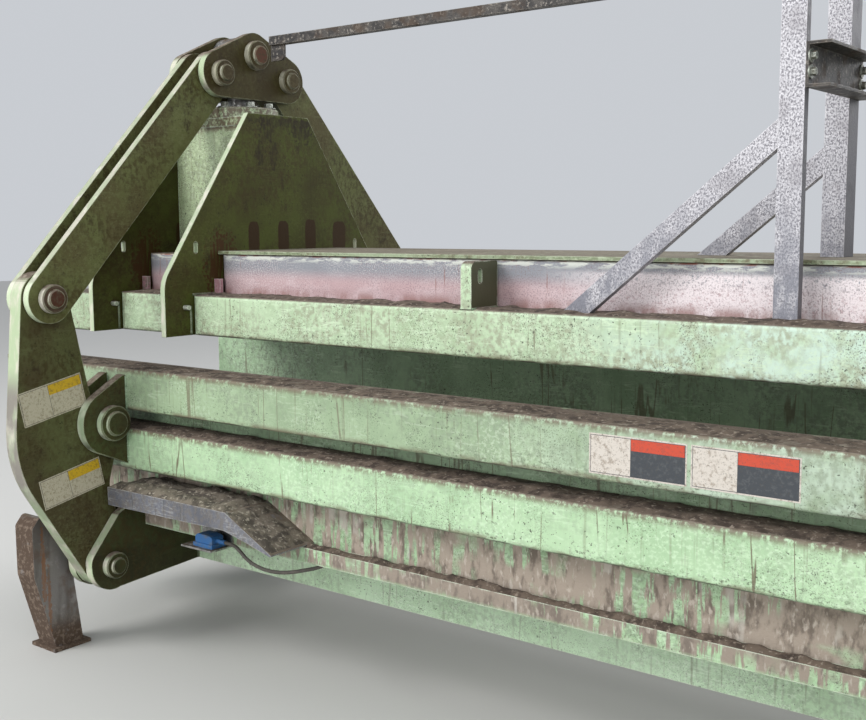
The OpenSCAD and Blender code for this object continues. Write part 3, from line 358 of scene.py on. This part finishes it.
grimeColours = {"streak": "6F6551", "chipped": "3C3E31", "dirt": "6A5E52", "dirtDry": "94897B",
                "grime": "4C4C3E", "rub": "D8E2CC", "filmed": "84907A"}
# plates that stand across the machine: their faces are dark olive, mostly painted shade over the walls' pale
# green paint with a real film of dirt; their rims are painted pale as a painted highlight
oliveShadeAndGrime = {
    **grimeColours, "streak": "2F281C", "chipped": "24221A", "filmed": "40361F", "blot": "33291D",
    "rim": "AFBF9C", "rimLitWorn": "CFCBBB", "rub": "9DA184", "scratch": 0.2, "fade": 0.35,
    "drip": 0.2, "run": 0.0, "chip": 0.7, "speck": 0.4, "gloss": 0.12}
paleGreen = enamel("paleGreenEnamel", {
    **grimeColours, "base": "ACC8A2", "deep": "98B48E", "faded": "C6DDBC"})
upperGreen = enamel("filmedGreenEnamel", {
    **grimeColours, "base": "9FB592", "deep": "8FA483", "faded": "BECFB3",
    "film": 0.6, "drip": 0.4, "scratch": 0.3, "pale": "BCCCBA", "paleSpan": (-1.35, -0.35),
    "topEdge": 1.072, "footEdge": 0.915})
lowerGreen = enamel("brightGreenEnamel", {
    **grimeColours, "base": "B6D3AB", "deep": "A8C79E", "faded": "CEE5C5",
    "film": 0.3, "drip": 0.35, "run": 0.9, "scratch": 0.35, "topEdge": 0.847, "footEdge": 0.690})
# the edge beams' lifting lugs carry painted shade on their infeed side
washedGreen = enamel("washedGreenEnamel", {
    **grimeColours, "base": "B9CFAC", "deep": "ACC19D", "faded": "CCDFC0", "filmed": "9CA288",
    "film": 0.9, "chip": 0.9, "speck": 0.8, "scratch": 0.7, "drip": 0.35, "run": 0.6,
    "pale": "C9DFD2", "paleSpan": (-1.25, -0.45), "footEdge": 1.190,
    "lugShade": "4B4C34", "lugShadeSpan": (-1.50, -1.32)})
plateGreen = enamel("mossyPlateEnamel", {
    **grimeColours, "base": "95A384", "deep": "7C8868", "faded": "B4C2A2", "filmed": "6E6A50",
    "dirt": "6E6555", "dirtDry": "8F8674", "rub": "B9C2A6", "film": 1.0, "drip": 0.2, "run": 0.0})
speckledGreen = enamel("speckledGreenEnamel", {
    **grimeColours, "base": "BACBA2", "deep": "A5B68D", "faded": "D6E3C2", "filmed": "8B937A",
    "chipped": "2A3026", "chip": 1.0, "speck": 1.0, "speckled": (0.30, 0.52), "drip": 0.4,
    "scratch": 0.2, "run": 0.3, "topEdge": 1.991})
oliveGreen = enamel("oliveGreenEnamel", {
    **oliveShadeAndGrime, "base": "565938", "deep": "4A432D", "faded": "696D4D",
    "rimDull": "8A857D", "dullBand": (0.58, 1.12)})
linkGreen = enamel("linkGreenEnamel", {
    **oliveShadeAndGrime, "base": "62663E", "deep": "575134", "faded": "747953",
    "rim": "C3D1B1", "rimLitWorn": "E0DDCE"})
gussetGreen = enamel("gussetGreenEnamel", {
    **oliveShadeAndGrime, "base": "4B5124", "deep": "424120", "faded": "5A5F32",
    "rim": "BCCAAA", "rimLitWorn": "DCD9C9", "burnt": "392A17", "brushMark": "432F19",
    "ovals": [((-149, 1548), (29, 64)), ((14, 1549), (30, 66)),
              ((171, 1553), (31, 68)), ((347, 1549), (40, 64))],
    "stains": [((-69, 1972), (40, 45)), ((126, 1976), (60, 40)), ((-105, 1880), (24, 46)),
               ((-33, 1880), (22, 52)), ((30, 2010), (190, 18))],
    "brushed": ((-322, 1440), (74, 118))})
headGreen = enamel("headGreenEnamel", {
    **oliveShadeAndGrime, "base": "4B4628", "deep": "3F3820", "faded": "5A563A"})
headPin = enamel("headPinEnamel", {
    **oliveShadeAndGrime, "base": "52492F", "deep": "443B27", "faded": "6A6048",
    "rim": "A7A48E", "rimLitWorn": "C9C6B6", "burnt": "5A3828", "discs": [((0, 2280), 36)]})
leverPin = enamel("leverPinEnamel", {
    **oliveShadeAndGrime, "base": "54463A", "deep": "43372D", "faded": "6B5C4D",
    "rim": "A9A596", "rimLitWorn": "CCC8BC", "burnt": "4A2E22",
    "discs": [((-969, 1347), 36), ((969, 1347), 36)]})
# brackets and base pins: a still darker olive, painted shade under the machine
footShadedGreen = enamel("footShadedEnamel", {
    **oliveShadeAndGrime, "base": "3E4327", "deep": "343320", "faded": "4E5137"})
shadedGreen = enamel("shadedGreenEnamel", {
    **oliveShadeAndGrime, "base": "484E2E", "deep": "3E3D28", "faded": "565B3E",
    "rim": "A3B594", "rimLitWorn": "C2CBB2"})
# the base rails are painted paler than the walls as painted light, for light reaching them under the ledge's
# overhang
litRailGreen = enamel("litRailEnamel", {
    **grimeColours, "base": "C6E0BE", "deep": "B8D4AF", "faded": "DCEDD5", "filmed": "97A68E",
    "film": 0.5, "run": 0.3})
cakedPaint = {
    **grimeColours, "base": "ACCBA1", "deep": "98B88D", "faded": "C6DDBC",
    "smear": "A79A8C", "smearDark": "776C61", "smearDry": "BDB2A5", "smearChalk": "CFCAC0"}
cakedGreen = enamel("cakedGreenEnamel", {**cakedPaint, "smearBand": (0.500, 0.512)})
ledgeGreen = enamel("cakedLedgeEnamel", {
    **cakedPaint, "smear": "978B7E", "smearDark": "7B7066", "smearDry": "ABA195",
    "smearBand": (0.455, 0.476)})
slateSheet = enamel("slateSheetEnamel", {
    **grimeColours, "base": "6A6C74", "deep": "585A62", "faded": "9A9A9A", "filmed": "6C665E",
    "rub": "A9A8A4", "streak": "46443F", "chipped": "34353A", "drip": 0.3, "chip": 0.5})
pinkStub = enamel("pinkPrimerStub", {
    **grimeColours, "base": "B98A92", "deep": "9A6C74", "faded": "D3B2B6", "rub": "D8C4C4"})
whiteStub = enamel("whitePaintStub", {
    **grimeColours, "base": "B9BBAE", "deep": "94988B", "faded": "D6D7CC"})
weldMetal = enamel("paintedWeld", {
    **grimeColours, "base": "7D9C76", "deep": "657F5F", "faded": "9DB896", "drip": 0.7})
oliveWeld = enamel("paintedWeldOlive", {
    **grimeColours, "base": "56623F", "deep": "444F33", "faded": "788561", "drip": 0.5})

# the deck beams' colours, and in metres the bands they lie in, from where each starts to where it is full
beamLook = {"pink": "BFA2A4", "palePink": "CDB6B8", "grey": "8B8E94", "chalk": "E2DADB",
            "bleached": "F0E6E7", "fleck": "7E666C", "run": "8A5A50", "foot": "97706A",
            "lip": "A3604C", "scrape": "D6D9CF", "earth": "6A5C50"}
beamBand = {"grey": (1.392, 1.448), "bleached": (1.466, 1.448), "bleachedAlong": (-1.28, -0.85),
            "foot": (1.380, 1.345), "lip": (1.481, 1.486), "scrape": (1.458, 1.479)}


# Deck beams left in primer: blue-grey above, pink below, chalk specks and rust runs
def primer(name, look, bands):
    mat, tree, shader = startMaterial(name, {"IOR": 1.5})
    colour = over(tree, look["pink"], look["palePink"],
                  grain(tree, 130, 0.45, 0.62, (1, 1, 2), shift=2.0, detail=6.0, top=0.7))
    colour = over(tree, colour, look["grey"], height(tree, *bands["grey"]))
    chalk = both(tree, grain(tree, 5, 0.50, 0.58, detail=5.0),
                 grain(tree, 700, 0.40, 0.58, shift=4.3, top=0.5))
    colour = over(tree, colour, look["chalk"], chalk)
    end = both(tree, height(tree, *bands["bleachedAlong"], 0), height(tree, *bands["bleached"]))
    bleached = both(tree, end, grain(tree, 8, 0.30, 0.50, shift=31.0, detail=7.0, top=0.9))
    colour = over(tree, colour, look["bleached"], bleached)
    # real flecks are a millimetre or two across; these are coarser so that they show
    flecks = both(tree, grain(tree, 4.5, 0.53, 0.59, shift=32.0, detail=6.0),
                  grain(tree, 240, 0.34, 0.56, shift=33.0, top=0.6))
    colour = over(tree, colour, look["fleck"], flecks)
    runs = both(tree, grain(tree, 11, 0.60, 0.68, (1, 1, 0.05), shift=3.0),
                grain(tree, 260, 0.46, 0.60, shift=6.0, top=0.7))
    colour = over(tree, colour, look["run"], runs)
    foot = both(tree, height(tree, *bands["foot"]),
                grain(tree, 60, 0.35, 0.60, (1, 1, 0.4), detail=6.0, top=0.8))
    colour = over(tree, colour, look["foot"], foot)
    lip = both(tree, height(tree, *bands["lip"]), grain(tree, 90, 0.42, 0.56, shift=7.0))
    colour = over(tree, colour, look["lip"], lip)
    scrape = both(tree, height(tree, *bands["scrape"]),
                  grain(tree, 22, 0.46, 0.54, (0.35, 1, 1.6), detail=7.0, top=0.85))
    colour = over(tree, colour, look["scrape"], scrape)
    earth = both(tree, facing(tree, 2, 0.5, 0.85), grain(tree, 50, 0.2, 0.45))
    colour = over(tree, colour, look["earth"], earth)
    rough = addNode(tree, "Mix", {2: 0.55, 3: 0.9}, {0: either(tree, earth, chalk)}).outputs[0]
    closeMaterial(tree, shader, colour, grain(tree, 10, 0.3, 0.7), 0.8, rough=rough)
    return mat


primerBeams = primer("primerBeams", beamLook, beamBand)

# sizes of a metal's spots and flecks in millimetres and how strongly they show, unless a metal says otherwise
metalLayers = {"spot": 40, "sharp": (0.42, 0.60), "stretch": (1, 1, 1), "fleck": 12, "fleckShare": 1.0,
               "rustShare": 0.5, "dust": "6B5D4F"}


# Metal: dark and light spots on a dull shine, bright rubbed edges, and rust and dust that dull it further
def metal(name, finish):
    look = {**metalLayers, **finish}
    mat, tree, shader = startMaterial(name, {"Metallic": look["metallic"]})
    spots = grain(tree, look["spot"], *look["sharp"], look["stretch"], detail=6.0)
    colour = over(tree, look["base"], look["deep"], spots)
    flecks = grain(tree, look["fleck"], 0.56, 0.64, detail=4.0, top=look["fleckShare"])
    colour = over(tree, colour, look["light"], flecks)
    rust = grain(tree, 90, 0.50, 0.66, shift=5.0, top=look["rustShare"])
    colour = over(tree, colour, look["rust"], rust)
    rub = both(tree, edges(tree, 4.0), grain(tree, 30, 0.35, 0.55, shift=2.0))
    colour = over(tree, colour, look["light"], rub)
    # the colour of the dust thins out sooner than its roughness, hence the square
    dust = both(tree, facing(tree, 2, 0.6, 0.9), grain(tree, 40, 0.25, 0.55, shift=1.0))
    colour = over(tree, colour, look["dust"], both(tree, dust, dust))
    if "foot" in look:
        foot = both(tree, height(tree, *look["footBand"]),
                    grain(tree, 26, 0.30, 0.62, (1, 1, 0.5), shift=37.0, detail=7.0, top=0.9))
        colour = over(tree, colour, look["foot"], foot)
    # painted shade on the faces that look to the infeed
    if "side" in look:
        colour = over(tree, colour, look["side"], facing(tree, 0, 0.7, 0.95))
    if "mud" in look:
        stuck = either(tree, facing(tree, 1, -0.35, -0.6), height(tree, 0.16, 0.06))
        stuck = both(tree, stuck, grain(tree, 40, 0.22, 0.42, shift=6.0, detail=6.0))
        mud = over(tree, look["mud"], look["mudDry"],
                   grain(tree, 16, 0.48, 0.64, shift=7.0, detail=7.0))
        colour = over(tree, colour, mud, stuck)
        # rust bleeding down the face that looks to the infeed
        for place, half in look["bleeds"]:
            patch = both(tree, oval(tree, place, half, 0.9), facing(tree, 0, 0.7, 0.95))
            bleed = both(tree, patch,
                         grain(tree, 12, 0.25, 0.60, (1, 1, 0.2), shift=9.0, detail=6.0, top=0.8))
            colour = over(tree, colour, look["bleed"], bleed)
        dust = either(tree, dust, stuck)
    clean, dulled = look["rough"]
    rough = addNode(tree, "Mix", {2: clean, 3: dulled}, {0: either(tree, rust, dust)}).outputs[0]
    closeMaterial(tree, shader, colour, grain(tree, 6, 0.3, 0.7), 0.6, rough=rough)
    return mat


turnedSteel = metal("turnedSteel", {
    "base": "9A9A98", "deep": "7C7B78", "light": "C8C8C4", "rust": "6B4C38",
    "metallic": 0.9, "rough": (0.32, 0.8), "rustShare": 0.25})
# the posts' and braces' infeed faces are painted darker as painted shade
millScale = metal("millScaleTube", {
    "base": "C6C4C8", "deep": "7C7A80", "light": "E2E0E3", "rust": "928E92",
    "metallic": 0.25, "rough": (0.5, 0.8), "rustShare": 0.4, "spot": 5, "sharp": (0.45, 0.57),
    "fleck": 4, "stretch": (1, 1, 0.75), "side": "6F6D72", "foot": "797A83", "footBand": (1.80, 1.38)})
blackSteel = metal("blackenedSteel", {
    "base": "4A4642", "deep": "2E2C2B", "light": "7C766E", "rust": "5B4A3C",
    "metallic": 0.4, "rough": (0.5, 0.9)})
legSteel = metal("bareLegSteel", {
    "base": "85817E", "deep": "6B6662", "light": "9D9996", "rust": "6A5547",
    "metallic": 0.3, "rough": (0.5, 0.95), "spot": 70, "fleck": 60, "fleckShare": 0.5,
    "stretch": (1, 1, 0.15), "mud": "5A4A3E", "mudDry": "7E6E60",
    "bleed": "8A6042", "bleeds": [((-925, 320), (9, 150)), ((-905, 200), (7, 120))]})
zincBolt = metal("zincPlatedBolt", {
    "base": "8C8F86", "deep": "5E625A", "light": "B9BCB2", "rust": "6A5A46",
    "metallic": 0.6, "rough": (0.4, 0.85), "spot": 10, "fleck": 5})


# Caked dirt: matt earth with darker oily patches and paler dry ones
def cakedDirt(name, base, dark, dry):
    mat, tree, shader = startMaterial(name, {"Roughness": 0.95})
    colour = over(tree, base, dark, grain(tree, 45, 0.42, 0.62, detail=6.0))
    colour = over(tree, colour, dry, grain(tree, 14, 0.54, 0.68, detail=5.0, shift=3.0))
    closeMaterial(tree, shader, colour, grain(tree, 7, 0.2, 0.8, detail=6.0), 2.5, 1.0)
    return mat


shelfDirt = cakedDirt("cakedDirt", "6D5F53", "463B33", "978A7C")
hoodDirt = cakedDirt("hoodDirt", "766D60", "4A433B", "A39A8B")


# Moulded plastic and rubber: even colour and soft gloss under patches of dust
def moulded(name, base, dusty, rough):
    mat, tree, shader = startMaterial(name, {"Roughness": rough, "IOR": 1.5})
    colour = over(tree, base, dusty, grain(tree, 30, 0.45, 0.70, detail=5.0, top=0.7))
    closeMaterial(tree, shader, colour, grain(tree, 2, 0.3, 0.7), 0.15, 1.2)
    return mat


blueShell = moulded("blueMouldedShell", "2B6096", "5A6166", 0.5)
cableJacket = moulded("dustyCableJacket", "4F4B45", "6E685F", 0.75)


# Vinyl label fields, bare of print, yellowed and scuffed; the scuffs are coarser than real so that they show
def vinyl(name, base, soiled, scuffed="4B463C"):
    mat, tree, shader = startMaterial(name, {"Roughness": 0.45, "IOR": 1.46})
    colour = over(tree, base, soiled, grain(tree, 9, 0.48, 0.66, detail=7.0, top=0.75))
    colour = over(tree, colour, scuffed, grain(tree, 4, 0.60, 0.66, detail=4.0, top=0.6))
    closeMaterial(tree, shader, colour, grain(tree, 8, 0.3, 0.7), 0.2, 0.4)
    return mat


labelWhite = vinyl("labelOffWhite", "CFC7BD", "978A7B")
labelCream = vinyl("labelCream", "B9B19B", "8E836C")
labelGrey = vinyl("labelDarkGrey", "3E4247", "55585A")
labelOrange = vinyl("labelOrange", "C54A32", "A8493A")
labelYellow = vinyl("labelYellow", "C9A421", "94792C")

nodePaint = {
    litRailGreen: ["base_rails"],
    ledgeGreen: ["chamber_floor"],
    paleGreen: ["side_liner_front", "side_liner_rear", "press_side_front",
                "press_side_rear", "ring_frame", "rear_crosshead", "feed_throat", "platen"],
    upperGreen: ["upper_beam_front", "upper_beam_rear"],
    lowerGreen: ["lower_beam_front", "lower_beam_rear"],
    washedGreen: ["edge_beams_front", "edge_beams_rear"],
    plateGreen: ["deck_plate"],
    speckledGreen: ["cylinder_housing", "tension_barrel"],
    cakedGreen: ["lower_side_front", "lower_side_rear"],
    shadedGreen: ["side_ears_front", "side_ears_rear", "lever_mid_pin_front", "lever_mid_pin_rear"],
    oliveGreen: ["lever_front", "lever_rear"],
    linkGreen: ["link_plates_front", "link_plates_rear"],
    gussetGreen: ["gusset_discharge", "gusset_infeed"],
    headGreen: ["crosshead_plates"],
    headPin: ["crosshead_pin_front", "crosshead_pin_rear", "crosshead_top_pin"],
    leverPin: ["lever_top_pin_front", "lever_top_pin_rear"],
    footShadedGreen: ["base_pin_front", "base_pin_rear", "lower_bracket_front", "lower_bracket_rear"],
    primerBeams: ["deck_beams"],
    turnedSteel: ["side_hinge_pin_front", "side_hinge_pin_rear", "top_hinge_pin", "tension_rod",
                  "ram_rod", "ram_head", "sensor_bracket"],
    millScale: ["support_posts", "support_braces"],
    blackSteel: ["cross_bars", "guard_rail", "main_barrel"],
    legSteel: ["outrigger_leg_front", "outrigger_leg_rear"],
    slateSheet: ["sensor_hood"],
    blueShell: ["sensor"],
    cableJacket: ["sensor_cable", "cable_grommet"],
}
for paint, names in nodePaint.items():
    for name in names:
        mesh = nodes[name].data
        mesh.materials.clear()
        mesh.materials.append(paint)

print("pieces")


def joined(name, solids, paint, body, smooth=False):
    # one piece made of solids, each given as its corners and its faces
    corners, faces = [], []
    for points, loops in solids:
        start = len(corners)
        corners += points
        faces += [tuple(start + i for i in loop) for loop in loops]
    mesh = bpy.data.meshes.new(name)
    mesh.from_pydata([tuple(c) for c in corners], [], faces)
    mesh.materials.append(paint)
    mesh.update()
    for face in mesh.polygons:
        face.use_smooth = smooth
    piece = addObject(name, mesh)
    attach(piece, body)


def machine(x, y, z):
    # a point given in millimetres from the tensioner's middle plane
    return Vector((tensX + x * mm, y * mm, z * mm))


def frameOf(axis):
    axis = Vector(axis).normalized()
    side = axis.cross(Vector((0, 0, 1)) if abs(axis.z) < 0.9 else Vector((1, 0, 0))).normalized()
    return axis, side, axis.cross(side)


def tubeFaces(rings, count):
    # faces of a tube made of rings of count corners, closed at both ends
    faces = []
    for r in range(rings - 1):
        for k in range(count):
            n = (k + 1) % count
            faces.append((r * count + k, r * count + n, (r + 1) * count + n, (r + 1) * count + k))
    faces.append(tuple(range(count - 1, -1, -1)))
    faces.append(tuple((rings - 1) * count + k for k in range(count)))
    return faces


def ringSolid(spot, axis, rings, count, turn=0.0):
    # solid of rings given as (distance along the axis, radius), in millimetres
    along, u, v = frameOf(axis)
    corners = []
    for reach, radius in rings:
        for k in range(count):
            a = 2 * math.pi * (k + turn) / count
            corners.append(spot + along * reach * mm + (u * math.cos(a) + v * math.sin(a)) * radius * mm)
    return corners, tubeFaces(len(rings), count)


def boltSolids(spot, axis, across):
    # hexagon head, across its flats in millimetres, with a chamfered crown on a round washer
    radius, base = across / math.sqrt(3), 3.5
    washer = [(-1, across * 0.95), (3.0, across * 0.95), (3.6, across * 0.9)]
    head = [(base, radius), (base + across * 0.52, radius), (base + across * 0.62, radius * 0.88)]
    return [ringSolid(spot, axis, washer, 24), ringSolid(spot, axis, head, 6, random.random())]


def weldBead(a, b, size, seed):
    # hand-laid weld from a to b, its radius rippling and wandering along the run
    along, u, v = frameOf(b - a)
    steps = max(4, int((b - a).length / mm / 5))  # a ring every 5 mm
    count = 8
    corners = []
    for i in range(steps + 1):
        wander = noise.noise(Vector((i * 0.31, seed, 0)))
        ripple = 0.86 + 0.14 * abs(math.sin(i * 1.9 + seed)) + 0.10 * wander
        spot = a + (b - a) * i / steps
        for k in range(count):
            t = 2 * math.pi * k / count
            corners.append(spot + (u * math.cos(t) + v * math.sin(t)) * size * ripple * mm)
    return corners, tubeFaces(steps + 1, count)


def crustSheet(x, y, z, thick, seed, cell=16, cover=0.46, slope=0.0, edge=30):
    # lumpy crust over a level or sloping top, thickest away from its edges, that ends under
    # the surface: spans, height, thickness, cell and edge in millimetres, cover as a share
    sunk = 0.6  # how far its rim ends under the surface
    nx, ny = max(2, int((x[1] - x[0]) / cell)), max(3, int((y[1] - y[0]) / cell))
    corners, faces = [], []
    for i in range(nx + 1):
        for j in range(ny + 1):
            px = x[0] + (x[1] - x[0]) * i / nx
            py = y[0] + (y[1] - y[0]) * j / ny
            lump = 0.5 + 0.5 * noise.fractal(Vector((px * 0.011, py * 0.011, seed * 3.7)), 0.9, 2.1, 5)
            fine = 0.5 + 0.5 * noise.noise(Vector((px * 0.06, py * 0.06, seed)))
            rim = min(1, (px - x[0]) / edge, (x[1] - px) / edge,
                      (py - y[0]) / edge + 0.15, (y[1] - py) / edge + 0.15)
            high = max(0.0, (lump - 1 + cover + 0.25) * rim) * thick * 2.2 * (0.7 + 0.6 * fine)
            onEdge = i in (0, nx) or j in (0, ny)
            rise = -sunk if onEdge else high - sunk
            corners.append(machine(px, py, z + slope * (px - x[0]) + rise))
    for i in range(nx):
        for j in range(ny):
            a = i * (ny + 1) + j
            faces.append((a, a + ny + 1, a + ny + 2, a + 1))
    return corners, faces


def outward(y, sign):
    # a span given outward from the middle, on the front or the rear
    return sorted((sign * y[0], sign * y[1]))


# caked dirt on the walls' beams, the shelf and the ledge, in millimetres
wallEnd = 3130
crusts = {
    "wall_dirt": {"body": "side_wall_{}", "sheets": [
        {"x": (-700, wallEnd), "y": (520, 664), "z": 1072, "thick": 8, "seed": 1},
        {"x": (-690, wallEnd), "y": (520, 662), "z": 847, "thick": 9, "seed": 4, "cover": 0.62}]},
    "shelf_dirt": {"body": "top_wall", "sheets": [
        {"x": (235, wallEnd), "y": (338, 470), "z": 1340, "thick": 8, "seed": 7, "cover": 0.6},
        {"x": (-180, 180), "y": (338, 470), "z": 1340, "thick": 8, "seed": 9, "cover": 0.6}]},
    "ledge_dirt": {"body": "root", "sheets": [
        {"x": (-560, 3100), "y": (557, 598), "z": 515, "thick": 9, "seed": 12, "cell": 11,
         "cover": 0.75, "edge": 14}]},
}
# weld beads in millimetres: where the runs lie along the machine, and their ends as (outward, up)
earWelds, gussetWelds = (-75, -34, 34, 75), (-231, -204, 204, 231)
welds = {
    "ear_welds": {"paint": weldMetal, "body": "side_wall_{}", "slot": "green_paint", "size": 5, "runs": [
        {"at": earWelds, "start": (670, 720), "end": (670, 843), "seed": 0},
        {"at": earWelds, "start": (670, 918), "end": (670, 1044), "seed": 1}]},
    "bracket_welds": {"paint": oliveWeld, "body": "root", "slot": "tensioner_paint", "size": 6, "runs": [
        {"at": (-74, 74), "start": (346, 274), "end": (346, 460), "seed": 0}]},
    "gusset_welds": {"paint": oliveWeld, "body": "top_wall", "slot": "tensioner_paint", "size": 5, "runs": [
        {"at": (-231, 231), "start": (332, 1342), "end": (470, 1342), "seed": 0},
        {"at": gussetWelds, "start": (480.5, 1194), "end": (480.5, 1300), "seed": 2}]},
    "lug_welds": {"paint": weldMetal, "body": "top_wall", "slot": "green_paint", "size": 4.5, "runs": [
        {"at": (1489, 1531), "start": (342, 1341), "end": (478, 1341), "seed": 0}]},
}


def weldRun(run, size, sign):
    (startY, startZ), (endY, endZ) = run["start"], run["end"]
    return [weldBead(machine(x, sign * startY, startZ), machine(x, sign * endY, endZ), size, x + run["seed"])
            for x in run["at"]]


random.seed(8)
for side, sign in sides.items():
    for label, crust in crusts.items():
        sheets = [crustSheet(**{**sheet, "y": outward(sheet["y"], sign), "seed": sheet["seed"] + sign})
                  for sheet in crust["sheets"]]
        joined(f"{label}_{side}", sheets, shelfDirt, crust["body"].format(side), True)
    for label, weld in welds.items():
        beads = [bead for run in weld["runs"] for bead in weldRun(run, weld["size"], sign)]
        joined(f"{label}_{side}", beads, weld["paint"], weld["body"].format(side), True)

print("labels and small parts")


def slabSolid(corner, u, v, width, tall, thick):
    # plate from its lower corner along u and v, standing proud by its thickness, in millimetres
    u, v = Vector(u).normalized(), Vector(v).normalized()
    n = u.cross(v)
    spots = []
    for lift in (-0.3, thick):
        for a, b in ((0, 0), (width, 0), (width, tall), (0, tall)):
            spots.append(corner + (u * a + v * b + n * lift) * mm)
    faces = [(0, 3, 2, 1), (4, 5, 6, 7), (0, 1, 5, 4), (1, 2, 6, 5), (2, 3, 7, 6), (3, 0, 4, 7)]
    return spots, faces


def plainLabel(name, corner, u, v, size, ground, fields, body):
    # vinyl plate with coloured fields (paint, left, low, width, height) set in from its border,
    # each a little prouder than the last
    joined(name, [slabSolid(corner, u, v, *size, 0.6)], ground, body)
    across, upward = Vector(u).normalized(), Vector(v).normalized()
    for part, (paint, left, low, wide, high) in enumerate(fields):
        spot = corner + (across * left + upward * low) * mm
        solid = slabSolid(spot, u, v, wide, high, 0.8 + 0.15 * part)
        joined(f"{name}_field_{part}", [solid], paint, body)


beamLabel = {"starts": {"beam_label_a": 2058, "beam_label_b": 2352}, "y": -670, "z": 935,
             "size": (283, 110),
             "fields": [(labelGrey, 4, 4, 275, 102), (labelWhite, 5.5, 5.5, 118, 99),
                        (labelOrange, 125, 74, 152, 30.5)]}
for name, start in beamLabel["starts"].items():
    plainLabel(name, machine(start, beamLabel["y"], beamLabel["z"]), (1, 0, 0), (0, 0, 1),
               beamLabel["size"], labelWhite, beamLabel["fields"], "side_wall_front")

# the lever's labels lie along the lever, a border of 4 mm and a line of 1.5 mm around two halves,
# the right one with a yellow head
leverLabel = {"x": 32, "tilt": math.radians(11.5), "border": 4, "inset": 5.5, "split": 0.46,
              "head": 36, "headDrop": 42,
              "labels": {"lever_label_a": {"corner": (-1071, 898), "size": (262, 124)},
                         "lever_label_b": {"corner": (-1005, 590), "size": (260, 110)}}}
tilt, border, inset = (leverLabel[k] for k in ("tilt", "border", "inset"))
tiltAlong = (0, math.cos(tilt), math.sin(tilt))
tiltUp = (0, -math.sin(tilt), math.cos(tilt))
for name, label in leverLabel["labels"].items():
    wide, tall = label["size"]
    half = wide * leverLabel["split"]
    rightWide, innerTall = wide - half - 6.5, tall - 2 * inset
    plainLabel(name, machine(leverLabel["x"], *label["corner"]), tiltAlong, tiltUp, label["size"], labelCream,
               [(labelGrey, border, border, wide - 2 * border, tall - 2 * border),
                (labelCream, inset, inset, half - 6, innerTall),
                (labelCream, half + 1, inset, rightWide, innerTall),
                (labelYellow, half + 1, tall - leverLabel["headDrop"], rightWide, leverLabel["head"])],
               "lever_front")

flangeBolt = {"count": 8, "first": 22.5, "radius": 132, "z": 2070, "across": 30}
heads = []
for k in range(flangeBolt["count"]):
    a = math.radians(flangeBolt["first"] + 360 / flangeBolt["count"] * k)
    x, y = flangeBolt["radius"] * math.cos(a), flangeBolt["radius"] * math.sin(a)
    heads += boltSolids(machine(x, y, flangeBolt["z"]), (0, 0, 1), flangeBolt["across"])
joined("flange_bolts", heads, zincBolt, "top_wall")

channelBolt = {"x": 2529, "y": (-406, -14), "z": (1975, 2015), "across": 19}
heads = []
for y in channelBolt["y"]:
    for z in channelBolt["z"]:
        heads += boltSolids(machine(channelBolt["x"], y, z), (1, 0, 0), channelBolt["across"])
joined("channel_bolts", heads, zincBolt, "top_wall")

# a small block and a round stub on each gusset's infeed face, in millimetres
stub = {"faces": {"infeed": 230, "discharge": -205}, "block": (-360, 1340), "blockSize": (15, 57, 32),
        "round": (-507, 1295), "rings": [(-1, 10), (22, 10), (25, 8)], "count": 20}
for label, face in stub["faces"].items():
    block = slabSolid(machine(face, *stub["block"]), (0, 1, 0), (0, 0, 1), *stub["blockSize"])
    joined(f"stub_block_{label}", [block], pinkStub, "top_wall")
    peg = ringSolid(machine(face, *stub["round"]), (1, 0, 0), stub["rings"], stub["count"])
    joined(f"stub_round_{label}", [peg], whiteStub, "top_wall")

# the sensor's hood: its level top, its fold, and its sloping end down to the tip, in millimetres
hood = {"top": 636, "low": 524, "fold": 702, "tip": 922, "y": (-757, -560)}
hoodSlope = -(hood["top"] - hood["low"]) / (hood["tip"] - hood["fold"])
joined("hood_crust",
       [crustSheet((66, 700), hood["y"], hood["top"], 12, 21, cell=10, cover=0.85),
        crustSheet((706, 915), hood["y"], hood["top"] - 2, 9, 23, cell=10, cover=0.6, slope=hoodSlope)],
       hoodDirt, "root", True)

print("cable")

# the cable's middle line from the sensor's rear to the grommet, and its radius, in millimetres
cableRadius = 6.5
cableRoute = [(585, -655, 487), (612, -655, 487), (638, -655, 482), (660, -654, 468),
              (682, -653, 451), (708, -651, 437), (738, -649, 428), (770, -646, 422), (802, -642, 420),
              (834, -636, 421), (866, -628, 425), (896, -617, 431), (924, -604, 438), (949, -590, 444),
              (972, -576, 452), (983, -567, 466), (985, -565, 477), (985, -565, 483)]
cableData = bpy.data.curves.new("sensorCable", "CURVE")
cableData.dimensions = "3D"
cableData.bevel_depth = cableRadius * mm
cableData.bevel_resolution = 3
cableData.use_fill_caps = True
line = cableData.splines.new("POLY")
line.points.add(len(cableRoute) - 1)
for point, spot in zip(line.points, cableRoute):
    point.co = (*machine(*spot), 1)
cableData.materials.append(cableJacket)
cable = addObject("sensorCable", cableData)
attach(cable, "root")
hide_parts("sensor_cable")

print("stage")

stage = {"reach": 30, "floor": "C9C8C4", "matt": 0.9, "sky": "E4E8EE", "skyPower": 0.75}
reach = stage["reach"]
floorMesh = bpy.data.meshes.new("studioFloor")
floorMesh.from_pydata([(-reach, -reach, 0), (reach, -reach, 0), (reach, reach, 0), (-reach, reach, 0)],
                      [], [(0, 1, 2, 3)])
floorMat, floorTree, floorShader = startMaterial("studioFloor", {"Roughness": stage["matt"]})
floorShader.inputs["Base Color"].default_value = hexColour(stage["floor"])
floorMesh.materials.append(floorMat)
floor = addObject("studioFloor", floorMesh)
world = bpy.data.worlds.new("studioWorld")
world.use_nodes = True
sky = world.node_tree.nodes["Background"].inputs
sky["Color"].default_value = hexColour(stage["sky"])
sky["Strength"].default_value = stage["skyPower"]
bpy.context.scene.world = world
bpy.context.scene.view_settings.view_transform = "Standard"
